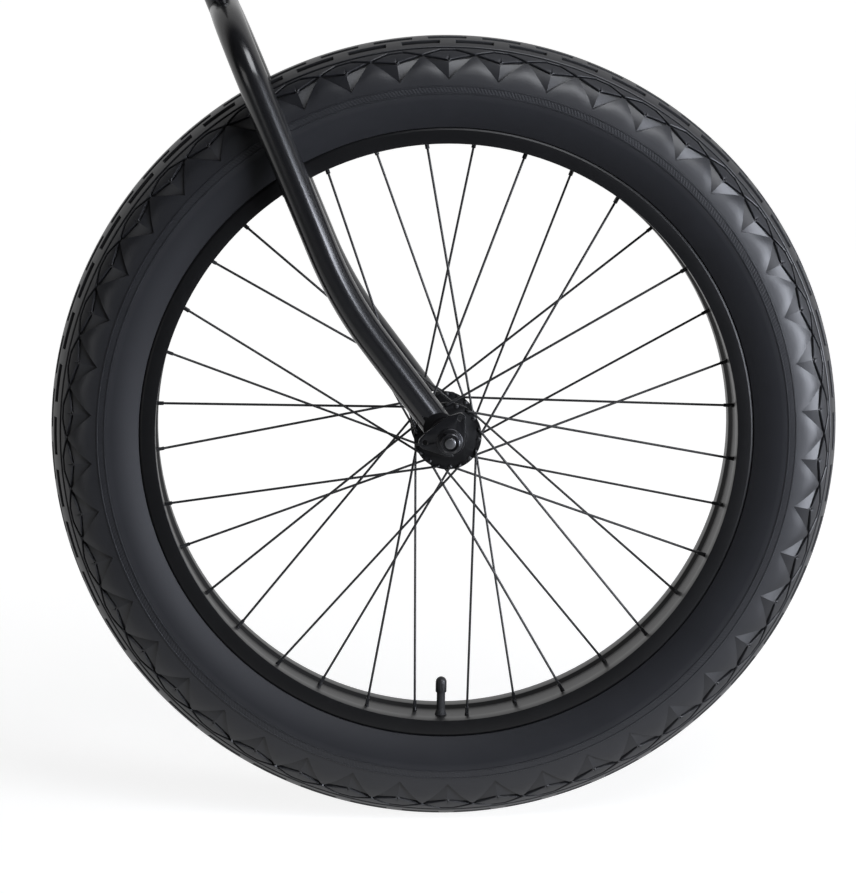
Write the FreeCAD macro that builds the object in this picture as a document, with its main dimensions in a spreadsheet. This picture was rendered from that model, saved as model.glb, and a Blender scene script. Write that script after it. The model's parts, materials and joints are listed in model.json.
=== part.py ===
"""Front end of a fat-tyre bicycle: a laced wheel with a four-inch tyre in a rigid unicrown fork.

Millimetres. +X points forward, +Y to the rider's left, +Z up. The origin is on the ground, straight
below the axle, where the tyre's crown touches. Every size sits in the Sizes sheet.
"""
import FreeCAD
import Part
import Sketcher
import math
import os
import re

Vector = FreeCAD.Vector

SIZES = [
    # Rim
    ("bead_seat_radius", 279.5, "bead seat of the 559 mm size"),
    ("rim_half_width", 40.0, "half of the rim, wall to wall"),
    ("rim_flange_height", 6.0, "bead seat to the top of a flange"),
    ("rim_flange_thickness", 2.4, "flange"),
    ("rim_wall", 2.5, "well on the tyre side to the spoke bed"),
    ("rim_step", 3.2, "spoke bed to the inner edge of the side walls"),
    ("rim_bed_inset", 20.0, "side wall to the flat of the spoke bed"),
    ("rim_bed_slope", 4.0, "slope from the bed to the side boxes"),
    ("rim_well_inset", 18.0, "side wall to the flat of the well"),
    ("rim_well_slope", 5.0, "slope from the well to the seats"),
    ("rim_corner", 1.0, "bevel of the rim's edges"),
    # Tyre
    ("tyre_height", 82.5, "top of the flanges to the crown of the tread"),
    ("tyre_bulge", 10.5, "tyre past the rim on each side"),
    ("tyre_widest_share", 0.418, "widest line, as a share of the tyre's height"),
    ("crown_curve", 56.0, "radius of the tread's cross curve"),
    ("tread_inset", 12.5, "widest line to the edge of the tread, along the axle"),
    ("crown_thickness", 8.0, "casing and tread under the crown"),
    ("casing_thickness", 3.5, "sidewall"),
    ("bead_thickness", 6.4, "width of a bead on its seat"),
    ("bead_height", 7.5, "bead seat to the top of the bead"),
    ("bead_lean", 2.5, "how far the bead's inner face leans outward"),
    ("sidewall_rib_pitch", 6.6, "between the two ring ribs at the widest line"),
    ("sidewall_rib_width", 1.2, "ring rib"),
    ("sidewall_rib_height", 0.6, "ring rib past the widest line"),
    # Tread: places as shares of a half tread's arc, of a shoulder's height or of one step round the tyre
    ("tread_step_count", 46, "steps of the pattern round the tyre"),
    ("tread_angle", 3.8, "first notch round the tyre, degrees"),
    ("groove_width", 2.4, "ring groove at the edge of the tread"),
    ("groove_depth", 2.5, "ring groove"),
    ("ring_groove_share", 0.819, "ring groove on the half tread"),
    ("cross_share", 0.949, "upper corner of the shoulder between two notches"),
    ("block_corner_share", 0.786, "lower corner of a diamond block on the shoulder"),
    ("notch_foot_share", 0.269, "foot of a notch on the shoulder"),
    ("notch_side_share", 0.736, "widest place of a notch on the shoulder"),
    ("notch_reach_share", 0.33, "reach of a notch to each side in a step"),
    ("notch_depth", 3.4, "notch under the corner of a block"),
    # Inner tube, rim strip and valve
    ("tube_gap", 0.4, "tube to casing"),
    ("tube_wall", 1.4, "inner tube rubber"),
    ("tube_floor_inset", 3.1, "bead to the flat of the tube over the rim strip"),
    ("strip_gap", 1.1, "rim strip to the beads"),
    ("strip_thickness", 0.8, "rim strip"),
    ("valve_angle", 269.0, "place of the valve round the rim, degrees"),
    ("valve_radius", 4.0, "outside of the stem"),
    ("valve_wall", 1.4, "stem"),
    ("valve_length", 42.0, "tube end of the stem to its mouth"),
    ("valve_base_step", 5.0, "rubber foot past the stem"),
    ("valve_base_thickness", 1.5, "rubber foot bonded to the tube"),
    ("valve_collar_step", 1.6, "collar past the stem, at the rim bed"),
    ("valve_collar_height", 5.0, "collar that meets the rim bed"),
    ("core_length", 20.0, "valve core"),
    ("core_recess", 1.0, "core below the mouth of the stem"),
    ("pin_radius", 0.7, "valve pin"),
    ("pin_foot", 1.0, "pin past the inner end of the core"),
    ("cap_wall", 1.1, "valve cap"),
    ("cap_length", 15.0, "valve cap"),
    ("cap_crown", 3.0, "closed end of the cap"),
    ("cap_tip_share", 0.5, "flat at the tip of the cap"),
    ("cap_flute_radius", 0.5, "grip flutes of the cap"),
    ("cap_flute_count", 14, "grip flutes of the cap"),
    # Spokes and nipples
    ("spokes_per_set", 9, "spokes that share flange and direction"),
    ("first_spoke_angle", 4.0, "first rim hole, degrees"),
    ("lacing_angle", 60.0, "rim hole to flange hole in three-cross lacing, degrees"),
    ("spoke_radius", 1.15, "spoke wire"),
    ("spoke_elbow", 2.0, "centre-line radius of the elbow"),
    ("spoke_head_step", 1.05, "spoke head past the wire"),
    ("spoke_head_height", 1.2, "spoke head"),
    ("spoke_lift", 0.6, "elbow clear of the flange face"),
    ("spoke_row_share", 0.55, "a row of rim holes on the flat of the bed"),
    ("spoke_hole_gap", 0.35, "spoke to its hole in the hub flange"),
    ("nipple_wall", 0.85, "nipple round the spoke"),
    ("nipple_length", 12.0, "nipple barrel below its head"),
    ("nipple_square_share", 0.5, "part of the barrel with flats for a spoke key"),
    ("nipple_flat_share", 0.8, "flat to flat against the barrel's diameter"),
    ("nipple_head_step", 0.9, "nipple head past the barrel"),
    ("nipple_head_height", 2.0, "nipple head"),
    ("nipple_seat", 0.5, "nipple head above the well, to let it lean"),
    ("nipple_strip_gap", 1.0, "nipple head to the level of the bead seat"),
    # Hub
    ("flange_inset", 29.5, "fork end to the middle of a flange"),
    ("flange_thickness", 3.2, "hub flange"),
    ("flange_edge", 2.5, "spoke holes to the edge of a flange"),
    ("flange_bevel", 0.8, "edge of a flange"),
    ("spoke_circle_radius", 29.0, "spoke holes in a flange"),
    ("barrel_fillet", 4.0, "slope from the barrel to a flange"),
    ("barrel_wall", 2.4, "barrel outside the bearing cups"),
    ("housing_length", 8.0, "middle of a flange to the end of the shell"),
    ("housing_wall", 3.9, "shell round a bearing cup"),
    ("cup_wall", 1.57, "bearing cup outside the balls"),
    ("cup_floor", 2.17, "bearing cup inboard of the balls"),
    ("cup_lip", 1.0, "ball circle to the clear bore of a cup"),
    ("ball_radius", 2.38, "three-sixteenth inch balls"),
    ("ball_inset", 4.0, "end of the shell to the balls' centres"),
    ("ball_count", 10, "balls in a ring"),
    ("race_gap", 0.05, "balls to races"),
    ("retainer_gap", 0.3, "retainer to cup and balls"),
    ("retainer_inset", 0.6, "ball circle to the inside of the retainer"),
    ("retainer_width", 2.0, "ball retainer"),
    ("cone_wall", 2.57, "cone between the axle and the balls"),
    ("cone_shoulder", 0.5, "body of a cone inside the ball circle"),
    ("cone_taper", 0.37, "neck of a cone below its race"),
    ("cone_neck_length", 3.0, "cone inboard of the balls"),
    ("dust_cap_thickness", 1.6, "pressed cap over a bearing"),
    ("dust_cap_gap", 0.4, "dust cap to cone"),
    ("spacer_length", 5.3, "spacer between cone and locknut"),
    ("locknut_flats", 17.0, "across the flats of a locknut"),
    ("locknut_thickness", 5.0, "locknut"),
    # Axle and its nuts
    ("axle_radius", 5.0, "M10 axle"),
    ("axle_stick_out", 1.1, "axle past its nuts"),
    ("washer_radius", 12.0, "retention washer"),
    ("washer_thickness", 2.0, "retention washer"),
    ("nut_flats", 17.0, "across the flats of an axle nut"),
    ("nut_height", 10.0, "axle nut"),
    ("nut_bevel", 1.2, "crown and mouth of an axle nut"),
    # Fork
    ("steering_angle", 22.0, "steering axis from the vertical, degrees"),
    ("fork_rake", 41.0, "axle ahead of the steering axis"),
    ("bend_height", 157.0, "foot of the rake to the bend, along the steering axis"),
    ("bend_curve", 375.0, "centre-line radius of the lower bend"),
    ("blade_clearance", 4.7, "tyre to blade"),
    ("blade_radius", 14.3, "outside of a blade"),
    ("blade_wall", 2.0, "blade tube"),
    ("blade_end", 19.8, "axle to the foot of a blade"),
    ("chisel_angle", 45.0, "slant of the blade's foot, degrees"),
    ("vent_radius", 1.5, "vent hole in a blade's foot"),
    ("vent_height", 17.2, "foot of a blade to its vent hole"),
    ("vent_setback", 5.7, "vent hole behind the blade's centre line"),
    ("crown_clearance", 72.0, "crown of the tread to the crown point of the fork"),
    ("crown_bend_angle", 72.0, "bend of a blade into the crown, degrees"),
    ("crown_bend", 70.0, "centre-line radius of that bend"),
    ("end_thickness", 5.0, "fork end plate"),
    ("end_tip_radius", 14.0, "fork end round the axle"),
    ("slot_gap", 0.15, "axle to the slot in a fork end"),
    ("eyelet_hole", 2.5, "threaded eyelets for stays"),
    ("front_eyelet_reach", 6.05, "front eyelet past the blade's edge"),
    ("front_eyelet_drop", 8.5, "front eyelet below the blade's foot"),
    ("front_eyelet_radius", 5.0, "outside of the front eyelet"),
    ("rear_eyelet_reach", 4.3, "rear eyelet past the blade's edge"),
    ("rear_eyelet_drop", 7.1, "rear eyelet below the blade's foot"),
    ("rear_eyelet_radius", 6.0, "outside of the rear eyelet"),
    ("end_corner", 1.2, "corners of a fork end at the blade"),
    ("steerer_radius", 14.3, "outside of the steerer"),
    ("steerer_wall", 1.6, "steerer tube"),
    ("steerer_below_crown", 17.0, "steerer below the crown point"),
    ("steerer_length", 190.0, "steerer above the crown race"),
    ("race_seat_height", 22.0, "crown point to the crown race"),
    ("race_seat_step", 0.7, "ground seat of the crown race past the steerer"),
    ("race_seat_length", 8.0, "ground seat of the crown race"),
    ("crown_race_wall", 5.0, "crown race past its seat"),
    ("crown_race_top_wall", 1.6, "upper edge of the crown race past its seat"),
    ("crown_race_height", 6.0, "crown race"),
    ("crown_race_lip", 2.0, "straight lower edge of the crown race"),
    # Shared
    ("fit_gap", 0.1, "between pieces that seat on each other"),
    ("cut_overrun", 5.0, "cutting tools past the face that they cut"),
]

# Sizes that follow from the ones above, so that pieces keep together when one of those changes
DERIVED = [
    ("rim_well_radius", "=bead_seat_radius-nipple_head_height-nipple_seat-nipple_strip_gap"),
    ("rim_bed_radius", "=rim_well_radius-rim_wall"),
    ("rim_edge_radius", "=rim_bed_radius-rim_step"),
    ("rim_flange_radius", "=bead_seat_radius+rim_flange_height"),
    ("rim_bed_half_width", "=rim_half_width-rim_bed_inset"),
    ("rim_well_half_width", "=rim_half_width-rim_well_inset"),
    ("spoke_hole_offset", "=rim_bed_half_width*spoke_row_share"),
    ("tyre_radius", "=rim_flange_radius+tyre_height"),
    ("tyre_half_width", "=rim_half_width+tyre_bulge"),
    ("tyre_widest_radius", "=rim_flange_radius+tyre_height*tyre_widest_share"),
    ("tread_half_width", "=tyre_half_width-tread_inset"),
    ("valve_bore", "=valve_radius-valve_wall"),
    ("valve_base_radius", "=valve_radius+valve_base_step"),
    ("valve_collar_radius", "=valve_radius+valve_collar_step"),
    ("cap_radius", "=valve_radius+fit_gap+cap_wall"),
    ("spoke_head_radius", "=spoke_radius+spoke_head_step"),
    ("spoke_hole_radius", "=spoke_radius+spoke_hole_gap"),
    ("nipple_radius", "=spoke_radius+nipple_wall"),
    ("nipple_head_radius", "=nipple_radius+nipple_head_step"),
    ("blade_offset", "=tyre_half_width+sidewall_rib_height+blade_clearance+blade_radius"),
    ("hub_half_width", "=blade_offset-end_thickness/2-fit_gap"),
    ("axle_half_length",
     "=hub_half_width+end_thickness+washer_thickness+nut_height+fit_gap*4+axle_stick_out"),
    ("flange_offset", "=hub_half_width-flange_inset"),
    ("flange_radius", "=spoke_circle_radius+flange_edge"),
    ("hub_end", "=flange_offset+housing_length"),
    ("ball_plane", "=hub_end-ball_inset"),
    ("race_radius", "=ball_radius+race_gap"),
    ("ball_circle_radius", "=axle_radius+cone_wall+race_radius"),
    ("cup_radius", "=ball_circle_radius+race_radius+cup_wall"),
    ("cup_depth", "=ball_inset+race_radius+cup_floor"),
    ("barrel_bore", "=ball_circle_radius-cup_lip"),
    ("barrel_radius", "=cup_radius+fit_gap+barrel_wall"),
    ("hub_end_radius", "=cup_radius+fit_gap+housing_wall"),
    ("retainer_inner_radius", "=ball_circle_radius+retainer_inset"),
    ("cone_radius", "=ball_circle_radius-cone_shoulder"),
    ("cone_neck_radius", "=ball_circle_radius-race_radius-cone_taper"),
    ("cone_end", "=hub_half_width-locknut_thickness-spacer_length-fit_gap*2"),
    ("crown_height", "=tyre_radius+crown_clearance"),
    ("steerer_bore", "=steerer_radius-steerer_wall"),
    ("race_seat_radius", "=steerer_radius+race_seat_step"),
    ("crown_race_radius", "=race_seat_radius+crown_race_wall"),
    ("crown_race_top_radius", "=race_seat_radius+crown_race_top_wall"),
]

doc = FreeCAD.newDocument("FatBikeFrontEnd")
sheet = doc.addObject("Spreadsheet::Sheet", "Sizes")
for row, (alias, value, note) in enumerate(SIZES, 1):
    sheet.set(f"A{row}", note)
    sheet.set(f"B{row}", str(value))
    sheet.setAlias(f"B{row}", alias)
for row, (alias, formula) in enumerate(DERIVED, len(SIZES) + 1):
    sheet.set(f"B{row}", formula)
    sheet.setAlias(f"B{row}", alias)
    sheet.recompute()
doc.recompute()


def size(alias):
    return float(sheet.get(alias))


def expression(text):
    """Point the bare size names in a formula at the sheet."""
    return re.sub(r"[a-z][a-z_]*\b(?!\()", r"Sizes.\g<0>", text)


def number(text):
    return float(sheet.evalExpression(expression(text)))


def bind(target, path, text):
    target.setExpression(path, expression(text))


# Revolved pieces, drawn as half sections of (radius, distance from the wheel plane)
AXLE = Vector(0, 0, size("tyre_radius"))
WHEEL_AXIS = Vector(0, 1, 0)
RIGHT = -1
LEFT = 1


def plane(body, role):
    return [item for item in body.Origin.OriginFeatures if item.Role == role][0]


def arc_middle(start, end, radius, turn):
    """Middle point of the short arc from start to end, turning left for +1 and right for -1."""
    chord = end - start
    left = Vector(-chord.y, chord.x, 0).normalize() * turn
    rise = math.sqrt(max(radius ** 2 - chord.Length ** 2 / 4, 0))
    return (start + end) / 2 + left * (rise - radius)


def section(body, name, loops):
    """Fully constrained sketch. A corner is (radius, axial) or (radius, axial, arc radius, turn)."""
    sketch = body.newObject("Sketcher::SketchObject", name)
    sketch.AttachmentSupport = [(plane(body, "XY_Plane"), "")]
    sketch.MapMode = "FlatFace"
    for corners in loops:
        spots = [Vector(number(corner[0]), number(corner[1]), 0) for corner in corners]
        edges = []
        for index, corner in enumerate(corners):
            start = spots[index]
            end = spots[(index + 1) % len(spots)]
            if len(corner) == 2:
                edges.append((sketch.addGeometry(Part.LineSegment(start, end)), 1, 2))
                continue
            middle = arc_middle(start, end, number(corner[2]), corner[3])
            geometry = sketch.addGeometry(Part.Arc(start, middle, end))
            edges.append((geometry, 1, 2) if corner[3] > 0 else (geometry, 2, 1))
        for index, corner in enumerate(corners):
            edge, first, last = edges[index]
            after, after_first, _ = edges[(index + 1) % len(edges)]
            sketch.addConstraint(Sketcher.Constraint("Coincident", edge, last, after, after_first))
            for kind, text in (("DistanceX", corner[0]), ("DistanceY", corner[1])):
                spot = number(text)
                place = sketch.addConstraint(Sketcher.Constraint(kind, -1, 1, edge, first, spot))
                bind(sketch, f"Constraints[{place}]", text)
            if len(corner) == 4:
                place = sketch.addConstraint(Sketcher.Constraint("Radius", edge, number(corner[2])))
                bind(sketch, f"Constraints[{place}]", corner[2])
    return sketch


def both_sides(half):
    """Close a half section with its mirror image across the wheel plane."""
    mirror = []
    for index in range(len(half) - 1, -1, -1):
        arc = half[index - 1][2:] if index else ()
        mirror.append((half[index][0], f"-({half[index][1]})") + tuple(arc))
    return list(half) + mirror


def wheel_body(label):
    body = doc.addObject("PartDesign::Body", label)
    body.Label = label
    bind(body, "Placement.Base.z", "tyre_radius")
    return body


def revolve(body, sketch, share="1"):
    """Turn a sketch round the axle, through a share of a full turn that is centred on the sketch."""
    turned = body.newObject("PartDesign::Revolution", f"{sketch.Name}_turn")
    turned.Profile = sketch
    turned.ReferenceAxis = (sketch, ["V_Axis"])
    turned.Midplane = True
    bind(turned, "Angle", f"360*({share})")


def ring(label, *loops):
    body = wheel_body(label)
    revolve(body, section(body, f"{label}_section", loops))
    return body


def mirrored(label, source):
    """The same piece on the other side of the wheel plane."""
    twin = doc.addObject("Part::Mirroring", label)
    twin.Label = label
    twin.Source = source
    twin.Normal = WHEEL_AXIS
    return twin


def feature(label, shape):
    piece = doc.addObject("Part::Feature", label)
    piece.Label = label
    piece.Shape = shape
    return piece


def cut(label, base, tool):
    piece = doc.addObject("Part::Cut", label)
    piece.Label = label
    piece.Base = base
    piece.Tool = tool
    return piece


def polar(radius, degrees, axial):
    turn = math.radians(degrees)
    return AXLE + Vector(radius * math.cos(turn), axial, radius * math.sin(turn))


def rod(radius, start, end):
    return Part.makeCylinder(radius, (end - start).Length, start, end - start)


def round_wheel(shape, degrees):
    """A copy of a shape, carried round the axle the way that polar counts its degrees."""
    copy = shape.copy()
    copy.rotate(AXLE, WHEEL_AXIS, -degrees)
    return copy


# Tyre and inner tube share one cavity outline, drawn at different insets
def bulge(width, height):
    """Radius of an arc that is upright at its widest point, from its width and height."""
    return f"(({width})^2+({height})^2)/(2*({width}))"


CROWN_CENTRE = "(tyre_radius-crown_curve)"
SHOULDER_RADIUS = f"({CROWN_CENTRE}+sqrt(crown_curve^2-tread_half_width^2))"
BEAD_TOP = "(bead_seat_radius+bead_height)"
BEAD_OUTER = "(rim_half_width-rim_flange_thickness-fit_gap)"
BEAD_INNER = f"({BEAD_OUTER}-bead_thickness)"
FLANGE_TOP = "(rim_flange_radius+fit_gap)"


def cavity(inset):
    """Bead top, widest line and shoulder of the casing's inside, drawn in by an inset."""
    curve = f"(crown_curve-crown_thickness-({inset}))"
    share = f"({curve}/crown_curve)"
    bead = (BEAD_TOP, f"{BEAD_INNER}+bead_lean-({inset})")
    widest = ("tyre_widest_radius", f"tyre_half_width-casing_thickness-({inset})")
    shoulder = (f"{CROWN_CENTRE}+({SHOULDER_RADIUS}-{CROWN_CENTRE})*{share}", f"tread_half_width*{share}")
    lower = bulge(f"{widest[1]}-({bead[1]})", f"{widest[0]}-{bead[0]}")
    upper = bulge(f"{widest[1]}-({shoulder[1]})", f"{shoulder[0]}-{widest[0]}")
    return [bead + (lower, -1), widest + (upper, -1), shoulder + (curve, -1)]


def tyre_casing():
    """Casing with its ring ribs, before the tread is cut."""
    inside = cavity("0")
    lower = bulge("tyre_half_width-rim_half_width", f"tyre_widest_radius-{FLANGE_TOP}")
    upper = bulge("tyre_half_width-tread_half_width", f"{SHOULDER_RADIUS}-tyre_widest_radius")
    outside = [
        ("bead_seat_radius+fit_gap", BEAD_INNER),
        ("bead_seat_radius+fit_gap", BEAD_OUTER),
        (FLANGE_TOP, BEAD_OUTER),
        (FLANGE_TOP, "rim_half_width", lower, -1),
        ("tyre_widest_radius", "tyre_half_width", upper, -1),
        (SHOULDER_RADIUS, "tread_half_width", "crown_curve", -1),
    ]
    across = [(corner[0], f"-({corner[1]})") for corner in outside]
    back = [across[5] + (upper, -1), across[4] + (lower, -1), across[3], across[2], across[1], across[0]]
    hollow = [(corner[0], corner[1]) for corner in inside]
    far = [(corner[0], f"-({corner[1]})") for corner in inside]
    bead_arc, side_arc, crown_arc = [(corner[2], 1) for corner in inside]
    lining = [far[0] + bead_arc, far[1] + side_arc, far[2] + crown_arc]
    lining += [hollow[2] + side_arc, hollow[1] + bead_arc, hollow[0]]
    body = wheel_body("tyre_casing")
    revolve(body, section(body, "tyre_section", [outside + back + lining]))
    ribs = []
    for side, place in ((side, place) for side in ("", "-") for place in ("+", "-")):
        middle = f"tyre_widest_radius{place}sidewall_rib_pitch/2"
        low = f"{middle}-sidewall_rib_width/2"
        high = f"{middle}+sidewall_rib_width/2"
        root = f"{side}(tyre_half_width-casing_thickness/2)"
        crest = f"{side}(tyre_half_width+sidewall_rib_height)"
        ribs.append([(low, root), (high, root), (high, crest), (low, crest)])
    revolve(body, section(body, "sidewall_ribs", ribs))
    doc.recompute()
    return body.Shape


# Tread: a ring groove near each edge, and a notch in the shoulder at every step round the tyre
FULL_TURN = 360.0
TREAD_STEP = FULL_TURN / size("tread_step_count")
HALF_SHARE = 0.5
# The wedge that cuts a notch starts before the notch and ends past its foot
WEDGE_RUNS = 3


def crown_spot(share):
    """Radius, axial place and lean of the normal at a share of a half tread's arc."""
    lean = share * math.asin(size("tread_half_width") / size("crown_curve"))
    radius = size("tyre_radius") - size("crown_curve") * (1 - math.cos(lean))
    return radius, size("crown_curve") * math.sin(lean), lean


def shoulder_spot(share):
    """The same at a share of the way from the widest line up to the edge of the tread."""
    height = number(f"{SHOULDER_RADIUS}-tyre_widest_radius")
    curve = number(bulge("tyre_half_width-tread_half_width", f"{SHOULDER_RADIUS}-tyre_widest_radius"))
    rise = math.asin(share * height / curve)
    axial = size("tyre_half_width") - curve * (1 - math.cos(rise))
    return size("tyre_widest_radius") + share * height, axial, math.pi / 2 - rise


def tread_point(spot, step_share, side, lift=0.0, shift=0.0):
    """A point of the tread, lifted off its surface and shifted along it towards the bead."""
    radius, axial, lean = spot
    radius += lift * math.cos(lean) - shift * math.sin(lean)
    axial += lift * math.sin(lean) + shift * math.cos(lean)
    return polar(radius, step_share * TREAD_STEP, side * axial)


def tread_out(spot, step_share, side):
    """Unit vector out of the tread."""
    return tread_point(spot, step_share, side, lift=1.0) - tread_point(spot, step_share, side)


def ring_groove(side):
    """Square groove round the tyre, near the edge of the tread."""
    spot = crown_spot(size("ring_groove_share"))
    corners = []
    for lift, shift in ((-1, -1), (-1, 1), (1, 1), (1, -1)):
        reach = size("cut_overrun") if lift > 0 else -size("groove_depth")
        corners.append(tread_point(spot, 0, side, lift=reach, shift=shift * size("groove_width") / 2))
    face = Part.Face(Part.makePolygon(corners + corners[:1]))
    return face.revolve(AXLE, WHEEL_AXIS, FULL_TURN)


def notch(centre_share, side):
    """Hollow of two facets below the corner of a block: a vee that runs out at its foot."""
    corner_spot = shoulder_spot(size("block_corner_share"))
    corner = tread_point(corner_spot, centre_share, side)
    outward = tread_out(corner_spot, centre_share, side)
    valley = tread_point(corner_spot, centre_share, side, lift=-size("notch_depth"))
    foot = tread_point(shoulder_spot(size("notch_foot_share")), centre_share, side)
    edge_spot = shoulder_spot(size("notch_side_share"))
    reach = size("notch_reach_share")
    edges = [tread_point(edge_spot, centre_share + way * reach, side) for way in (-1, 1)]
    run = foot - valley
    along = Vector(run).normalize()
    start = valley - run
    slopes = []
    for edge in edges:
        slope = edge - valley
        slopes.append((slope - along * slope.dot(along)) * 2)
    vee = Part.makePolygon([start, start + slopes[0], start + slopes[1], start])
    wedge = Part.Face(vee).extrude(run * WEDGE_RUNS)
    cross_spot = shoulder_spot(size("cross_share"))
    crossings = [tread_point(cross_spot, centre_share + way * HALF_SHARE, side) for way in (-1, 1)]
    rise = (crossings[0] + crossings[1]) / 2 - corner
    depth = outward * (2 * size("notch_depth"))
    outline = [corner, crossings[0], crossings[0] + rise * 2, crossings[1] + rise * 2, crossings[1], corner]
    flat = [spot - outward * outward.dot(spot - corner) - depth for spot in outline]
    block = Part.Face(Part.makePolygon(flat)).extrude(depth * 2 + outward * size("cut_overrun"))
    return wedge.cut(block)


def make_tyre():
    tools = []
    for side in (RIGHT, LEFT):
        tools.append(ring_groove(side))
        hollow = notch(0, side)
        for index in range(int(size("tread_step_count"))):
            tools.append(round_wheel(hollow, size("tread_angle") + index * TREAD_STEP))
    return feature("tyre", tyre_casing().cut(tools))


def make_inner_tube():
    dip = "valve_base_radius^2/(2*bead_seat_radius)"
    floor = f"bead_seat_radius+4*fit_gap+strip_thickness+valve_base_thickness+{dip}"
    edge = f"{BEAD_INNER}-tube_floor_inset"
    skin = [(floor, edge)] + cavity("tube_gap")
    hollow = [(f"{floor}+tube_wall", f"{edge}-tube_wall")] + cavity("tube_gap+tube_wall")
    whole = ring("inner_tube_ring", both_sides(skin), both_sides(hollow))
    start = number(floor) - size("cut_overrun")
    end = number(floor) + size("tube_wall") + size("cut_overrun")
    drill = feature("inner_tube_drill", rod(size("valve_bore"), valve_point(start), valve_point(end)))
    return cut("inner_tube", whole, drill)


# Rim, with holes that follow the lean of each spoke
def make_rim():
    seat_corner = "rim_half_width-rim_flange_thickness"
    half = [
        ("rim_bed_radius", "rim_bed_half_width"),
        ("rim_edge_radius", "rim_bed_half_width+rim_bed_slope"),
        ("rim_edge_radius", "rim_half_width-rim_corner"),
        ("rim_edge_radius+rim_corner", "rim_half_width"),
        ("rim_flange_radius-rim_corner", "rim_half_width"),
        ("rim_flange_radius", "rim_half_width-rim_corner"),
        ("rim_flange_radius", seat_corner),
        ("bead_seat_radius", seat_corner),
        ("bead_seat_radius", "rim_well_half_width+rim_well_slope"),
        ("rim_well_radius", "rim_well_half_width"),
    ]
    whole = ring("rim_ring", both_sides(half))
    drills = [valve_drill(size("valve_radius"))]
    for side, angle, turn, head_out in lacing():
        seat, inward = nipple_seat(side, angle, turn, head_out)
        overrun = inward * size("cut_overrun")
        drills.append(rod(size("nipple_radius") + size("fit_gap"), seat - overrun, seat + overrun))
    return cut("rim", whole, feature("rim_drills", Part.makeCompound(drills)))


def make_rim_strip():
    start = "bead_seat_radius+fit_gap"
    end = f"{start}+strip_thickness"
    edge = f"{BEAD_INNER}-strip_gap"
    whole = ring("rim_strip_ring", both_sides([(start, edge), (end, edge)]))
    return cut("rim_strip", whole, feature("rim_strip_drill", valve_drill(size("valve_radius"))))


# Valve, along one radius of the wheel
def valve_point(radius):
    return polar(radius, size("valve_angle"), 0)


VALVE_FOOT = size("bead_seat_radius") + 2 * size("fit_gap") + size("strip_thickness")
VALVE_MOUTH = VALVE_FOOT + size("valve_base_thickness") - size("valve_length")


def valve_drill(radius):
    start = size("rim_edge_radius") - size("cut_overrun")
    end = size("bead_seat_radius") + size("strip_thickness") + size("cut_overrun")
    return rod(radius + size("fit_gap"), valve_point(start), valve_point(end))


def make_valve_stem():
    base = VALVE_FOOT + size("valve_base_thickness")
    dip = size("valve_collar_radius") ** 2 / (2 * size("rim_bed_radius"))
    bed = size("rim_bed_radius") - size("fit_gap") - dip
    stem = rod(size("valve_radius"), valve_point(base), valve_point(VALVE_MOUTH))
    foot = rod(size("valve_base_radius"), valve_point(base), valve_point(VALVE_FOOT))
    collar = Part.makeCone(
        size("valve_collar_radius"),
        size("valve_radius"),
        size("valve_collar_height"),
        valve_point(bed),
        valve_point(VALVE_MOUTH) - valve_point(bed),
    )
    overrun = size("cut_overrun")
    bore = rod(size("valve_bore"), valve_point(base + overrun), valve_point(VALVE_MOUTH - overrun))
    return feature("valve_stem", stem.fuse([foot, collar]).cut(bore).removeSplitter())


def make_valve_core():
    mouth = VALVE_MOUTH + size("core_recess")
    start = valve_point(mouth)
    end = valve_point(mouth + size("core_length"))
    sleeve = rod(size("valve_bore") - size("fit_gap"), start, end)
    return feature("valve_core", sleeve.cut(rod(size("pin_radius") + size("fit_gap"), start, end)))


def make_valve_pin():
    start = VALVE_MOUTH + size("fit_gap")
    end = VALVE_MOUTH + size("core_recess") + size("core_length") + size("pin_foot")
    stalk = rod(size("pin_radius"), valve_point(start), valve_point(end))
    foot_start = end - size("pin_foot") + size("fit_gap")
    foot = rod(size("valve_bore") - 2 * size("fit_gap"), valve_point(foot_start), valve_point(end))
    return feature("valve_pin", stalk.fuse(foot).removeSplitter())


def make_valve_cap():
    """Fluted cap over the mouth of the stem, closed and rounded towards the hub."""
    roof = VALVE_MOUTH - size("fit_gap")
    tip = roof - size("cap_crown")
    shoulder = valve_point(roof)
    skirt = valve_point(tip + size("cap_length"))
    towards_hub = (valve_point(tip) - shoulder).normalize()
    tip_radius = size("cap_radius") * size("cap_tip_share")
    crown = Part.makeCone(size("cap_radius"), tip_radius, size("cap_crown"), shoulder, towards_hub)
    wall = rod(size("cap_radius"), shoulder, skirt)
    flutes = []
    for index in range(int(size("cap_flute_count"))):
        turn = FreeCAD.Rotation(towards_hub, index * FULL_TURN / size("cap_flute_count"))
        outward = turn.multVec(WHEEL_AXIS) * size("cap_radius")
        flutes.append(rod(size("cap_flute_radius"), shoulder + outward, skirt + outward))
    bore = rod(size("valve_radius") + size("fit_gap"), shoulder, skirt)
    return feature("valve_cap", wall.cut(flutes + [bore]).fuse(crown).removeSplitter())


# Spokes: right and left flanges, each with leading and trailing sets in three-cross lacing
SETS = {
    "spokes_left_trailing": (LEFT, 0, 1, True),
    "spokes_right_leading": (RIGHT, 1, -1, True),
    "spokes_left_leading": (LEFT, 2, -1, False),
    "spokes_right_trailing": (RIGHT, 3, 1, False),
}


def set_lacing(side, order, turn, head_out):
    """Rim angles of one set, with the turn to the flange hole and the face that holds the heads."""
    count = int(size("spokes_per_set"))
    step = FULL_TURN / count
    first = size("first_spoke_angle") + order * step / len(SETS)
    return [(side, first + index * step, turn * size("lacing_angle"), head_out) for index in range(count)]


def lacing():
    return [spoke for spoke_set in SETS.values() for spoke in set_lacing(*spoke_set)]


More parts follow.
